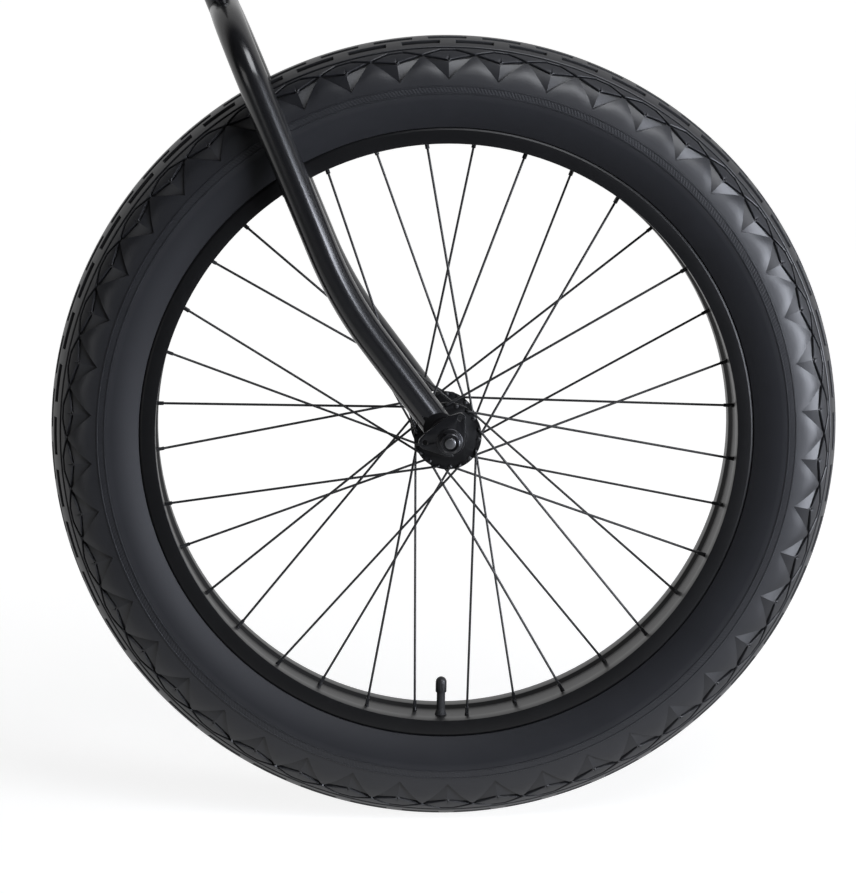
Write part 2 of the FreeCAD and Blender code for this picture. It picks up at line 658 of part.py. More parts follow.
def spoke_ends(side, angle, turn, head_out):
    """Head face, elbow and rim end of a spoke."""
    middle = side * size("flange_offset")
    reach = size("flange_thickness") / 2 + size("fit_gap")
    outward = side if head_out else -side
    lift = size("spoke_radius") + size("spoke_lift")
    head = polar(size("spoke_circle_radius"), angle + turn, middle + outward * reach)
    elbow = polar(size("spoke_circle_radius"), angle + turn, middle - outward * (reach + lift))
    tip_radius = size("rim_well_radius") + size("nipple_head_height") / 2
    tip = polar(tip_radius, angle, side * size("spoke_hole_offset"))
    return head, elbow, tip


def nipple_seat(side, angle, turn, head_out):
    """Where a nipple's head rests above the well, and the direction towards the hub."""
    head, elbow, tip = spoke_ends(side, angle, turn, head_out)
    inward = (elbow - tip).normalize()
    return tip + inward * (size("nipple_head_height") / 2 - size("nipple_seat")), inward


def rounded_path(points, radii):
    """Straight runs joined by tangent arcs at the inner points."""
    edges = []
    start = points[0]
    for corner, after, radius in zip(points[1:-1], points[2:], radii):
        arriving = (corner - start).normalize()
        leaving = (after - corner).normalize()
        half_turn = arriving.getAngle(leaving) / 2
        tangent = radius * math.tan(half_turn)
        entry = corner - arriving * tangent
        exit_point = corner + leaving * tangent
        inward = (leaving - arriving).normalize()
        middle = corner + inward * (radius / math.cos(half_turn) - radius)
        edges.append(Part.LineSegment(start, entry).toShape())
        edges.append(Part.Arc(entry, middle, exit_point).toShape())
        start = exit_point
    edges.append(Part.LineSegment(start, points[-1]).toShape())
    return Part.Wire(edges)


def pipe(path, radius):
    start = path.Edges[0]
    circle = Part.Circle(start.valueAt(start.FirstParameter), start.tangentAt(start.FirstParameter), radius)
    return path.makePipeShell([Part.Wire(circle.toShape())], True, False)


def make_spoke(*place):
    head, elbow, tip = spoke_ends(*place)
    wire = pipe(rounded_path([head, elbow, tip], [size("spoke_elbow")]), size("spoke_radius"))
    outward = (head - elbow).normalize()
    button = Part.makeCylinder(size("spoke_head_radius"), size("spoke_head_height"), head, outward)
    return wire.fuse(button).removeSplitter()


def make_spokes(label):
    """One set of spokes: the first is made, and the rest are its copies round the wheel."""
    places = set_lacing(*SETS[label])
    first = make_spoke(*places[0])
    spokes = [round_wheel(first, place[1] - places[0][1]) for place in places]
    return feature(label, Part.makeCompound(spokes))


def make_nipple():
    """A nipple with its head's seat at the origin and its barrel along +Z, squared for a spoke key."""
    origin = Vector(0, 0, 0)
    up = Vector(0, 0, 1)
    top = up * -size("nipple_head_height")
    foot = up * size("nipple_length")
    neck = up * (size("nipple_length") * (1 - size("nipple_square_share")))
    flats = 2 * size("nipple_radius") * size("nipple_flat_share")
    key = Part.makeBox(flats, flats, (foot - neck).Length, neck - Vector(flats / 2, flats / 2, 0))
    barrel = rod(size("nipple_radius"), top, neck)
    button = rod(size("nipple_head_radius"), top, origin)
    square = rod(size("nipple_radius"), neck, foot).common(key)
    bore = rod(size("spoke_radius") + size("fit_gap"), top, foot)
    return barrel.fuse([button, square]).cut(bore).removeSplitter()


def make_nipples():
    pattern = make_nipple()
    nipples = []
    for place in lacing():
        seat, inward = nipple_seat(*place)
        nipple = pattern.copy()
        nipple.Placement = FreeCAD.Placement(seat, FreeCAD.Rotation(Vector(0, 0, 1), inward))
        nipples.append(nipple)
    return feature("spoke_nipples", Part.makeCompound(nipples))


# Hub shell, cup-and-cone bearings and axle
def make_hub_shell():
    inner_face = "flange_offset-flange_thickness/2"
    outer_face = "flange_offset+flange_thickness/2"
    housing = "hub_end-cup_depth-fit_gap"
    half = [
        ("barrel_bore", housing),
        ("cup_radius+fit_gap", housing),
        ("cup_radius+fit_gap", "hub_end"),
        ("hub_end_radius", "hub_end"),
        ("hub_end_radius", outer_face),
        ("flange_radius-flange_bevel", outer_face),
        ("flange_radius", f"{outer_face}-flange_bevel"),
        ("flange_radius", f"{inner_face}+flange_bevel"),
        ("flange_radius-flange_bevel", inner_face),
        ("barrel_radius+barrel_fillet", inner_face),
        ("barrel_radius", f"{inner_face}-barrel_fillet"),
    ]
    whole = ring("hub_shell_ring", both_sides(half))
    drills = []
    for side, angle, turn, head_out in lacing():
        reach = size("flange_thickness") / 2 + size("cut_overrun")
        start = polar(size("spoke_circle_radius"), angle + turn, side * size("flange_offset") - reach)
        drills.append(Part.makeCylinder(size("spoke_hole_radius"), 2 * reach, start, WHEEL_AXIS))
    return cut("hub_shell", whole, feature("hub_drills", Part.makeCompound(drills)))


def make_cup():
    """Cup of the right bearing: the race wraps the balls' outer, inboard quarter."""
    start = "-(hub_end-cup_depth)"
    half = [
        ("cup_radius", start),
        ("cup_radius", "-hub_end"),
        ("ball_circle_radius+race_radius", "-hub_end"),
        ("ball_circle_radius+race_radius", "-ball_plane", "race_radius", 1),
        ("ball_circle_radius", "-ball_plane+race_radius"),
        ("barrel_bore", "-ball_plane+race_radius"),
        ("barrel_bore", start),
    ]
    return ring("bearing_cup_right", half)


def make_cone():
    """Cone of the right bearing: the race wraps the balls' inner, outboard quarter."""
    bore = "axle_radius+fit_gap"
    race_rise = "sqrt(race_radius^2-(ball_circle_radius-cone_radius)^2)"
    half = [
        (bore, "-ball_plane+cone_neck_length"),
        (bore, "-cone_end"),
        ("cone_radius", "-cone_end"),
        ("cone_radius", f"-ball_plane-{race_rise}", "race_radius", -1),
        ("ball_circle_radius-race_radius", "-ball_plane"),
        ("cone_neck_radius", "-ball_plane+cone_neck_length"),
    ]
    return ring("cone_right", half)


def make_dust_cap():
    inside = "cone_radius+dust_cap_gap"
    start = "-(hub_end+fit_gap)"
    end = "-(hub_end+fit_gap+dust_cap_thickness)"
    half = [
        (inside, start),
        ("hub_end_radius", start),
        ("hub_end_radius-dust_cap_thickness", end),
        (inside, end),
    ]
    return ring("dust_cap_right", half)


def make_balls():
    balls = []
    for index in range(int(size("ball_count"))):
        degrees = FULL_TURN / size("ball_count") * index
        centre = polar(size("ball_circle_radius"), degrees, -size("ball_plane"))
        balls.append(Part.makeSphere(size("ball_radius"), centre))
    return feature("bearing_balls_right", Part.makeCompound(balls))


def make_retainer():
    """Stamped ring that spaces the balls, with a pocket round each of them."""
    outer = "ball_circle_radius+race_radius-retainer_gap"
    start = "-ball_plane-retainer_gap"
    end = f"{start}-retainer_width"
    loop = [
        ("retainer_inner_radius", start),
        (outer, start),
        (outer, end),
        ("retainer_inner_radius", end),
    ]
    whole = ring("ball_retainer_ring", loop)
    pockets = []
    for index in range(int(size("ball_count"))):
        degrees = FULL_TURN / size("ball_count") * index
        centre = polar(size("ball_circle_radius"), degrees, -size("ball_plane"))
        pockets.append(Part.makeSphere(size("ball_radius") + size("fit_gap"), centre))
    return cut("ball_retainer_right", whole, feature("retainer_pockets", Part.makeCompound(pockets)))


HEX_SIDES = 6


def hexagon(flats, thickness, start):
    """Hexagonal prism along the axle, from a distance to the right of the wheel plane."""
    corner = Vector(flats / 2 / math.cos(math.pi / HEX_SIDES), 0, 0)
    turns = [FreeCAD.Rotation(WHEEL_AXIS, index * FULL_TURN / HEX_SIDES) for index in range(HEX_SIDES + 1)]
    corners = [turn.multVec(corner) for turn in turns]
    face = Part.Face(Part.makePolygon(corners))
    face.translate(AXLE - WHEEL_AXIS * start)
    return face.extrude(WHEEL_AXIS * -thickness)


def axle_hole(start, thickness):
    """Clearance round the axle, past both faces of a piece on it."""
    overrun = size("cut_overrun")
    low = AXLE - WHEEL_AXIS * (start - overrun)
    high = AXLE - WHEEL_AXIS * (start + thickness + overrun)
    return rod(size("axle_radius") + size("fit_gap"), low, high)


def pair(label, piece):
    """One piece at each end of the axle, in one node."""
    return feature(label, Part.makeCompound([piece, piece.mirror(Vector(0, 0, 0), WHEEL_AXIS)]))


def make_axle():
    axle = doc.addObject("Part::Cylinder", "hub_axle")
    axle.Label = "hub_axle"
    axle.Placement.Rotation = FreeCAD.Rotation(Vector(1, 0, 0), -90)
    bind(axle, "Radius", "axle_radius")
    bind(axle, "Height", "2*axle_half_length")
    bind(axle, "Placement.Base.y", "-axle_half_length")
    bind(axle, "Placement.Base.z", "tyre_radius")
    return axle


def make_locknuts():
    start = size("hub_half_width") - size("locknut_thickness")
    nut = hexagon(size("locknut_flats"), size("locknut_thickness"), start)
    return pair("cone_locknuts", nut.cut(axle_hole(start, size("locknut_thickness"))))


def make_spacers():
    start = size("cone_end") + size("fit_gap")
    end = size("hub_half_width") - size("locknut_thickness") - size("fit_gap")
    collar = rod(size("locknut_flats") / 2, AXLE - WHEEL_AXIS * start, AXLE - WHEEL_AXIS * end)
    return pair("cone_spacers", collar.cut(axle_hole(start, end - start)))


def make_washers():
    start = size("hub_half_width") + size("end_thickness") + 2 * size("fit_gap")
    end = start + size("washer_thickness")
    disc = rod(size("washer_radius"), AXLE - WHEEL_AXIS * start, AXLE - WHEEL_AXIS * end)
    return pair("axle_washers", disc.cut(axle_hole(start, size("washer_thickness"))))


def make_axle_nuts():
    """Hexagon nuts with a turned crown and a countersunk mouth."""
    start = size("hub_half_width") + size("end_thickness") + 3 * size("fit_gap") + size("washer_thickness")
    nut = hexagon(size("nut_flats"), size("nut_height"), start)
    corner = size("nut_flats") / 2 / math.cos(math.pi / HEX_SIDES)
    crown = Part.makeCone(
        corner + size("nut_height"),
        corner - size("nut_bevel"),
        size("nut_height") + size("nut_bevel"),
        AXLE - WHEEL_AXIS * (start - size("nut_bevel")),
        WHEEL_AXIS * -1,
    )
    mouth = Part.makeCone(
        size("axle_radius"),
        size("axle_radius") + size("nut_bevel") + size("fit_gap"),
        size("nut_bevel") + size("fit_gap"),
        AXLE - WHEEL_AXIS * (start + size("nut_height") - size("nut_bevel")),
        WHEEL_AXIS * -1,
    )
    tools = [axle_hole(start, size("nut_height")), mouth]
    return pair("axle_nuts", nut.common(crown).cut(tools))


# Fork: blades bent forward to the axle and inward to the steerer
LEAN = math.radians(size("steering_angle"))
UP_STEERER = Vector(-math.sin(LEAN), 0, math.cos(LEAN))
RAKE_FOOT = AXLE - Vector(math.cos(LEAN), 0, math.sin(LEAN)) * size("fork_rake")
CROWN_POINT = RAKE_FOOT + UP_STEERER * size("crown_height")
BEND_POINT = RAKE_FOOT + UP_STEERER * size("bend_height")
UP_BLADE = (BEND_POINT - AXLE).normalize()
AHEAD = WHEEL_AXIS.cross(UP_BLADE)


def blade_path(side, foot):
    """Centre line of a blade, from a distance up from the axle to the wheel plane at the crown."""
    outward = WHEEL_AXIS * side * size("blade_offset")
    slope = math.radians(size("crown_bend_angle"))
    shoulder_drop = size("blade_offset") / math.tan(slope)
    points = [
        AXLE + UP_BLADE * foot + outward,
        BEND_POINT + outward,
        CROWN_POINT - UP_STEERER * shoulder_drop + outward,
        CROWN_POINT,
    ]
    return rounded_path(points, [size("bend_curve"), size("crown_bend")])


def chisel(side, foot):
    """Everything past the two slanted faces of a blade's foot."""
    half = size("end_thickness") / 2
    reach = size("blade_radius") + size("cut_overrun")
    rise = (reach - half) / math.tan(math.radians(size("chisel_angle")))
    centre = AXLE + WHEEL_AXIS * side * size("blade_offset") - AHEAD * reach
    outline = [(half, 0), (reach, rise), (reach, -reach), (-reach, -reach), (-reach, rise), (-half, 0)]
    corners = [centre + WHEEL_AXIS * axial + UP_BLADE * (foot + lift) for axial, lift in outline]
    return Part.Face(Part.makePolygon(corners + corners[:1])).extrude(AHEAD * (2 * reach))


def make_blade(label, side):
    foot = size("blade_end")
    closed = foot + size("blade_wall") / math.cos(math.radians(size("chisel_angle")))
    below = size("blade_radius")
    outside = pipe(blade_path(side, foot - below), size("blade_radius")).cut(chisel(side, foot))
    inside = pipe(blade_path(side, foot - below), size("blade_radius") - size("blade_wall"))
    inside = inside.cut(chisel(side, closed))
    reach = UP_STEERER * (size("steerer_below_crown") + size("race_seat_height") + size("crown_bend"))
    saddle = rod(size("steerer_radius") + size("fit_gap"), CROWN_POINT - reach, CROWN_POINT + reach)
    outward = WHEEL_AXIS * side
    vent_root = AXLE + UP_BLADE * (foot + size("vent_height")) - AHEAD * size("vent_setback")
    vent_root += outward * size("blade_offset")
    vent = rod(size("vent_radius"), vent_root, vent_root + outward * (below + size("cut_overrun")))
    tube = outside.cut(inside).cut([saddle, vent])
    return feature(label, half_space(tube, side))


def half_space(shape, side):
    """Keep what lies on one side of the wheel plane, clear of the other blade."""
    reach = size("crown_height")
    corner = CROWN_POINT - Vector(reach, 0, 2 * reach)
    block = Part.makeBox(2 * reach, reach, 3 * reach, corner)
    if side == RIGHT:
        block.translate(WHEEL_AXIS * -reach)
    block.translate(WHEEL_AXIS * side * size("fit_gap"))
    return max(shape.common(block).Solids, key=lambda solid: solid.Volume)


def tangent_outline(discs):
    """Outline round a ring of (ahead, up, radius) discs beside the axle, taken anticlockwise."""
    centres = [AHEAD * ahead + UP_BLADE * up for ahead, up, _ in discs]
    radii = [radius for _, _, radius in discs]
    arrivals = []
    departures = []
    for index, centre in enumerate(centres):
        after = (index + 1) % len(discs)
        along = centres[after] - centre
        slant = (radii[index] - radii[after]) / along.Length
        along.normalize()
        normal = along * slant + along.cross(WHEEL_AXIS) * -math.sqrt(1 - slant ** 2)
        departures.append(centre + normal * radii[index])
        arrivals.append(centres[after] + normal * radii[after])
    edges = []
    for index, centre in enumerate(centres):
        start = arrivals[index - 1]
        end = departures[index]
        middle = centre + ((start + end) / 2 - centre).normalize() * radii[index]
        edges.append(Part.Arc(start, middle, end).toShape())
        edges.append(Part.LineSegment(end, arrivals[index]).toShape())
    return Part.Wire(edges)


def make_fork_end(label, side):
    """Plate with an open axle slot and two threaded eyelets, butted to the blade's chisel."""
    shoulder = size("blade_radius") - size("end_corner")
    brow = size("blade_end") - size("end_corner") - size("fit_gap")
    front_eyelet = (
        size("blade_radius") + size("front_eyelet_reach"),
        size("blade_end") - size("front_eyelet_drop"),
        size("front_eyelet_radius"),
    )
    rear_eyelet = (
        -size("blade_radius") - size("rear_eyelet_reach"),
        size("blade_end") - size("rear_eyelet_drop"),
        size("rear_eyelet_radius"),
    )
    tip = (0, 0, size("end_tip_radius"))
    corner = size("end_corner")
    discs = [tip, front_eyelet, (shoulder, brow, corner), (-shoulder, brow, corner), rear_eyelet]
    middle = AXLE + WHEEL_AXIS * side * size("blade_offset")
    face = Part.Face(tangent_outline(discs))
    face.translate(middle - WHEEL_AXIS * size("end_thickness") / 2)
    plate = face.extrude(WHEEL_AXIS * size("end_thickness"))
    reach = WHEEL_AXIS * (size("end_thickness") / 2 + size("cut_overrun"))
    slot_radius = size("axle_radius") + size("slot_gap")
    open_end = UP_BLADE * (-2 * size("end_tip_radius"))
    corners = [AHEAD * slot_radius, AHEAD * -slot_radius]
    corners += [corners[1] + open_end, corners[0] + open_end, corners[0]]
    mouth = Part.Face(Part.makePolygon([middle - reach + spot for spot in corners]))
    tools = [rod(slot_radius, middle - reach, middle + reach), mouth.extrude(reach * 2)]
    for ahead, up, _ in (front_eyelet, rear_eyelet):
        centre = middle + AHEAD * ahead + UP_BLADE * up
        tools.append(rod(size("eyelet_hole"), centre - reach, centre + reach))
    return feature(label, plate.cut(tools))


def make_steerer():
    seat = CROWN_POINT + UP_STEERER * size("race_seat_height")
    low = CROWN_POINT - UP_STEERER * size("steerer_below_crown")
    high = seat + UP_STEERER * size("steerer_length")
    tube = rod(size("steerer_radius"), low, high)
    collar = rod(size("race_seat_radius"), seat, seat + UP_STEERER * size("race_seat_length"))
    bore = rod(size("steerer_bore"), low, high)
    return feature("steerer_tube", tube.fuse(collar).cut(bore).removeSplitter())


def make_crown_race():
    seat = CROWN_POINT + UP_STEERER * size("race_seat_height")
    lip = seat + UP_STEERER * size("crown_race_lip")
    top = seat + UP_STEERER * size("crown_race_height")
    skirt = rod(size("crown_race_radius"), seat, lip)
    slope = Part.makeCone(
        size("crown_race_radius"),
        size("crown_race_top_radius"),
        size("crown_race_height") - size("crown_race_lip"),
        lip,
        UP_STEERER,
    )
    bore = rod(size("race_seat_radius") + size("fit_gap"), seat, top)
    return feature("crown_race", skirt.fuse(slope).cut(bore).removeSplitter())


def build():
    """Every sub-part, in the order in which a mechanic would lay them out."""
    cup = make_cup()
    cone = make_cone()
    dust_cap = make_dust_cap()
    balls = make_balls()
    retainer = make_retainer()
    pieces = [
        make_steerer(),
        make_crown_race(),
        make_blade("fork_blade_right", RIGHT),
        make_blade("fork_blade_left", LEFT),
        make_fork_end("fork_end_right", RIGHT),
        make_fork_end("fork_end_left", LEFT),
        make_axle(),
        cone,
        mirrored("cone_left", cone),
        make_spacers(),
        make_locknuts(),
        make_washers(),
        make_axle_nuts(),
        make_hub_shell(),
        cup,
        mirrored("bearing_cup_left", cup),
        dust_cap,
        mirrored("dust_cap_left", dust_cap),
        balls,
        mirrored("bearing_balls_left", balls),
        retainer,
        mirrored("ball_retainer_left", retainer),
        make_nipples(),
        make_rim(),
        make_rim_strip(),
        make_inner_tube(),
        make_tyre(),
        make_valve_stem(),
        make_valve_core(),
        make_valve_pin(),
        make_valve_cap(),
    ]
    return pieces + [make_spokes(label) for label in SETS]


def write(pieces):
    doc.recompute()
    for item in doc.Objects:
        if "Invalid" in item.State or "Error" in item.State:
            raise RuntimeError(f"{item.Label} failed: {item.State}")
    for piece in pieces:
        if piece.Shape.isNull() or not piece.Shape.isValid() or not piece.Shape.Solids:
            raise RuntimeError(f"{piece.Label} has no sound shape")
    os.makedirs("parts", exist_ok=True)
    for piece in pieces:
        piece.Shape.exportStep(f"parts/{piece.Label}.step")
        box = piece.Shape.BoundBox
        extent = f"{box.XLength:.1f} x {box.YLength:.1f} x {box.ZLength:.1f} mm"
        print(f"{piece.Label}: {len(piece.Shape.Solids)} solids, {len(piece.Shape.Faces)} faces, {extent}")


write(build())
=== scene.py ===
# %% [markdown]
# The front end of a fat-tyre bicycle: a laced wheel with a four-inch tyre, held in a rigid black fork.
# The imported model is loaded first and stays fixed. Every new piece is made in the same frame, in
# metres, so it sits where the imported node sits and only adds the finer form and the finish.

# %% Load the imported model
import json
import math
import bmesh
import bpy
from mathutils import Matrix, Vector

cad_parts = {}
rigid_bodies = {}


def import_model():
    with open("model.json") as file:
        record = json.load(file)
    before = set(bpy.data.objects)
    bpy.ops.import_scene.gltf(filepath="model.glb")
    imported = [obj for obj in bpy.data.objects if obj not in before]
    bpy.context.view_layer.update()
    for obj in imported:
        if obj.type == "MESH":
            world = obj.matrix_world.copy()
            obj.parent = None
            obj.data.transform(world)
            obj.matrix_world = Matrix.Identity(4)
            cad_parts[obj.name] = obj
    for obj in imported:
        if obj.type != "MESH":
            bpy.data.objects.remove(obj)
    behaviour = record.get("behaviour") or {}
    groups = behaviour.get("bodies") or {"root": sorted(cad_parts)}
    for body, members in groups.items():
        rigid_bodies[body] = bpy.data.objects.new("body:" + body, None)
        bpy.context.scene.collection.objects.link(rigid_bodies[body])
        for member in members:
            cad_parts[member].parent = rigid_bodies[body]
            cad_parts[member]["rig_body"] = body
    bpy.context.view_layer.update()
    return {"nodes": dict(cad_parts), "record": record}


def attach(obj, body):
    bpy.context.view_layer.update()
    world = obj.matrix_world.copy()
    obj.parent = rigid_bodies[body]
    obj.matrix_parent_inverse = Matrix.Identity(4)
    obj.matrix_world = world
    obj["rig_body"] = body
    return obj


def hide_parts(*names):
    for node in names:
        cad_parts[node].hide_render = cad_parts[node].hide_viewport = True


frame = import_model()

MM = 0.001
HUB = Vector((0, 0, 368 * MM))
AXLE = Vector((0, 1, 0))
RIGHT = -1
LEFT = 1
FULL_TURN = 2 * math.pi
print("packed nodes:", len(frame["nodes"]))

# %% [markdown]
# The camera comes first, because every later choice is judged through it. The photograph was taken
# from the bicycle's right side, three degrees behind the axle and nearly nine degrees above it, with a
# long lens. Direction, lens and shift come from a fit to the outlines of the tyre and of the rim.

# %% Camera at the photograph's angle
camera_turn = math.radians(2.99)
camera_rise = math.radians(8.6)
CAMERA_DISTANCE = 3.0
toward_camera = Vector((-math.sin(camera_turn), -math.cos(camera_turn), math.tan(camera_rise))).normalized()
camera_data = bpy.data.cameras.new("camera")
camera_data.sensor_width = 36
camera_data.lens = 128.7
camera_data.shift_x = -0.0197
camera_data.shift_y = -0.0193
camera = bpy.data.objects.new("camera", camera_data)
camera.location = HUB + toward_camera * CAMERA_DISTANCE
camera.rotation_euler = (-toward_camera).to_track_quat("-Z", "Y").to_euler()
bpy.context.scene.collection.objects.link(camera)
bpy.context.scene.camera = camera
print("camera at", [round(c, 3) for c in camera.location])

# %% [markdown]
# Node groups hold the effects that several finishes share. The first gives a fine grain and a slow
# cloudiness from noise on Object coordinates. The second gives long thin scratches, made from noise
# that is stretched along one direction. Each material picks its own scale and strength.

# %% Shared effects: grain and scratches
def effect_group(name, sockets):
    group = bpy.data.node_groups.new(name, "ShaderNodeTree")
    for socket, default in sockets:
        item = group.interface.new_socket(socket, in_out="INPUT", socket_type="NodeSocketFloat")
        item.default_value = default
    group.interface.new_socket("Mask", in_out="OUTPUT", socket_type="NodeSocketFloat")
    return group, group.nodes.new("NodeGroupInput"), group.nodes.new("NodeGroupOutput")


def add_node(tree, kind, **settings):
    made = tree.nodes.new(kind)
    for setting, value in settings.items():
        setattr(made, setting, value)
    return made


def ramp(tree, source, low, high, start, end):
    """Carry a value from one range to another, held at both ends."""
    made = add_node(tree, "ShaderNodeMapRange")
    made.inputs["From Min"].default_value = low
    made.inputs["From Max"].default_value = high
    made.inputs["To Min"].default_value = start
    made.inputs["To Max"].default_value = end
    tree.links.new(source, made.inputs["Value"])
    return made.outputs["Result"]


def combine(tree, operation, first, second):
    made = add_node(tree, "ShaderNodeMath", operation=operation)
    tree.links.new(first, made.inputs[0])
    tree.links.new(second, made.inputs[1])
    return made.outputs["Value"]


def make_grain():
    group, given, result = effect_group("grain", [("Scale", 800.0), ("Cloud Scale", 18.0)])
    place = add_node(group, "ShaderNodeTexCoord")
    fine = add_node(group, "ShaderNodeTexNoise")
    fine.inputs["Detail"].default_value = 4.0
    cloud = add_node(group, "ShaderNodeTexNoise")
    cloud.inputs["Detail"].default_value = 3.0
    blend = add_node(group, "ShaderNodeMix", data_type="FLOAT")
    blend.inputs["Factor"].default_value = 0.5
    group.links.new(place.outputs["Object"], fine.inputs["Vector"])
    group.links.new(place.outputs["Object"], cloud.inputs["Vector"])
    group.links.new(given.outputs["Scale"], fine.inputs["Scale"])
    group.links.new(given.outputs["Cloud Scale"], cloud.inputs["Scale"])
    group.links.new(fine.outputs["Fac"], blend.inputs["A"])
    group.links.new(cloud.outputs["Fac"], blend.inputs["B"])
    group.links.new(blend.outputs["Result"], result.inputs["Mask"])
    return group


def make_scratches():
    group, given, result = effect_group("scratches", [("Scale", 60.0), ("Stretch", 12.0), ("Amount", 0.62)])
    place = add_node(group, "ShaderNodeTexCoord")
    stretch = add_node(group, "ShaderNodeCombineXYZ")
    stretch.inputs["X"].default_value = 1.0
    stretch.inputs["Z"].default_value = 1.0
    scaled = add_node(group, "ShaderNodeVectorMath", operation="MULTIPLY")
    noise = add_node(group, "ShaderNodeTexNoise")
    noise.inputs["Detail"].default_value = 6.0
    step = add_node(group, "ShaderNodeMapRange")
    step.inputs["From Max"].default_value = 0.8
    group.links.new(given.outputs["Stretch"], stretch.inputs["Y"])
    group.links.new(place.outputs["Object"], scaled.inputs[0])
    group.links.new(stretch.outputs["Vector"], scaled.inputs[1])
    group.links.new(scaled.outputs["Vector"], noise.inputs["Vector"])
    group.links.new(given.outputs["Scale"], noise.inputs["Scale"])
    group.links.new(given.outputs["Amount"], step.inputs["From Min"])
    group.links.new(noise.outputs["Fac"], step.inputs["Value"])
    group.links.new(step.outputs["Result"], result.inputs["Mask"])
    return group


GRAIN = make_grain()
SCRATCHES = make_scratches()
print("effects:", GRAIN.name, SCRATCHES.name)

# %% [markdown]
# Every finish starts from the same recipe: a base colour that drifts between two tones, a roughness
# that drifts with it, and a bump from the grain. Scratches lighten the colour a little. Metal, coat and
# specular level are the same all over, so they are set on the shader itself.

# %% The recipe for a finish
COAT_ROUGHNESS = 0.12
BUMP_HEIGHT = 0.4 * MM
WEAR_GAIN = 1.8
WEAR_LIFT = 0.01


def make_finish(name, dark, light, rough, metal=0.0, coat=0.0, specular=0.5,
                grain=800.0, cloud=18.0, bump=0.02, scratch=0.0):
    material = bpy.data.materials.new(name)
    material.use_nodes = True
    tree = material.node_tree
    shader = tree.nodes["Principled BSDF"]
    shader.inputs["Metallic"].default_value = metal
    shader.inputs["Coat Weight"].default_value = coat
    shader.inputs["Coat Roughness"].default_value = COAT_ROUGHNESS
    shader.inputs["Specular IOR Level"].default_value = specular
    texture = add_node(tree, "ShaderNodeGroup", node_tree=GRAIN)
    texture.inputs["Scale"].default_value = grain
    texture.inputs["Cloud Scale"].default_value = cloud
    tone = add_node(tree, "ShaderNodeMix", data_type="RGBA")
    tone.inputs["A"].default_value = (*dark, 1)
    tone.inputs["B"].default_value = (*light, 1)
    tree.links.new(texture.outputs["Mask"], tone.inputs["Factor"])
    marks = add_node(tree, "ShaderNodeGroup", node_tree=SCRATCHES)
    worn = add_node(tree, "ShaderNodeMix", data_type="RGBA")
    worn.inputs["B"].default_value = (*[min(1.0, part * WEAR_GAIN + WEAR_LIFT) for part in light], 1)
    strength = add_node(tree, "ShaderNodeMath", operation="MULTIPLY")
    strength.inputs[1].default_value = scratch
    tree.links.new(marks.outputs["Mask"], strength.inputs[0])
    tree.links.new(strength.outputs["Value"], worn.inputs["Factor"])
    tree.links.new(tone.outputs["Result"], worn.inputs["A"])
    tree.links.new(worn.outputs["Result"], shader.inputs["Base Color"])
    sheen = ramp(tree, texture.outputs["Mask"], 0.0, 1.0, *rough)
    tree.links.new(sheen, shader.inputs["Roughness"])
    relief = add_node(tree, "ShaderNodeBump")
    relief.inputs["Strength"].default_value = bump
    relief.inputs["Distance"].default_value = BUMP_HEIGHT
    tree.links.new(texture.outputs["Mask"], relief.inputs["Height"])
    tree.links.new(relief.outputs["Normal"], shader.inputs["Normal"])
    return material


black_paint = make_finish("satin_black_paint", (0.006, 0.006, 0.0068), (0.011, 0.011, 0.0122), (0.21, 0.29),
                          coat=0.5, bump=0.015, grain=1400, cloud=9, scratch=0.12)
black_anodised = make_finish("black_anodised", (0.003, 0.003, 0.0033), (0.007, 0.007, 0.0076), (0.28, 0.40),
                             specular=0.3, grain=2200, bump=0.03, scratch=0.15)
black_wire = make_finish("black_wire", (0.010, 0.010, 0.011), (0.020, 0.020, 0.021), (0.28, 0.45),
                         grain=1500, scratch=0.2)
black_oxide = make_finish("black_oxide", (0.06, 0.06, 0.063), (0.12, 0.12, 0.125), (0.24, 0.38),
                          metal=1.0, grain=900, scratch=0.5)
turned_steel = make_finish("turned_steel", (0.50, 0.50, 0.50), (0.68, 0.68, 0.69), (0.20, 0.36),
                           metal=1.0, grain=1200, scratch=0.3)
oiled_steel = make_finish("oiled_steel", (0.20, 0.20, 0.20), (0.30, 0.30, 0.31), (0.26, 0.40),
                          metal=1.0, grain=1200, scratch=0.3)
turned_brass = make_finish("turned_brass", (0.60, 0.43, 0.18), (0.75, 0.56, 0.27), (0.22, 0.36), metal=1.0)
soft_rubber = make_finish("soft_rubber", (0.018, 0.018, 0.019), (0.032, 0.032, 0.034), (0.55, 0.75),
                          specular=0.35, bump=0.15)
ribbed_plastic = make_finish("ribbed_plastic", (0.012, 0.012, 0.013), (0.022, 0.022, 0.023), (0.35, 0.5),
                             bump=0.08)
print("finishes:", len(bpy.data.materials))

# %% [markdown]
# CAD nodes that are already right keep their mesh and only get a finish. They are mostly hidden inside
# the hub and the rim, so the plain recipe is enough for them.

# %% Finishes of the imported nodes
node_finish = {
    "fork_paint": black_paint, "bare_steel": turned_steel, "black_steel": black_oxide,
    "hub_alloy": black_anodised, "rim_alloy": black_anodised, "spoke_steel": black_wire,
    "nipple_brass": black_wire, "tyre_rubber": soft_rubber, "tube_rubber": soft_rubber,
    "strip_rubber": soft_rubber, "valve_rubber": soft_rubber, "core_brass": turned_brass,
    "cap_plastic": ribbed_plastic, "dust_cap_steel": black_paint,
}
node_slot = {part["node"]: part["material_slot"] for part in frame["record"]["subparts"]}
for name, node in frame["nodes"].items():
    node.data.materials.clear()
    node.data.materials.append(node_finish[node_slot[name]])
print("dressed nodes:", len(node_slot))

# %% [markdown]
# A helper finishes each new mesh the same way: doubles are merged, the normals are turned outwards,
# flat and rounded faces are told apart by the angle between them, and the piece rides on its body. An
# edge that was marked as a fold stays sharp, however flat it is.

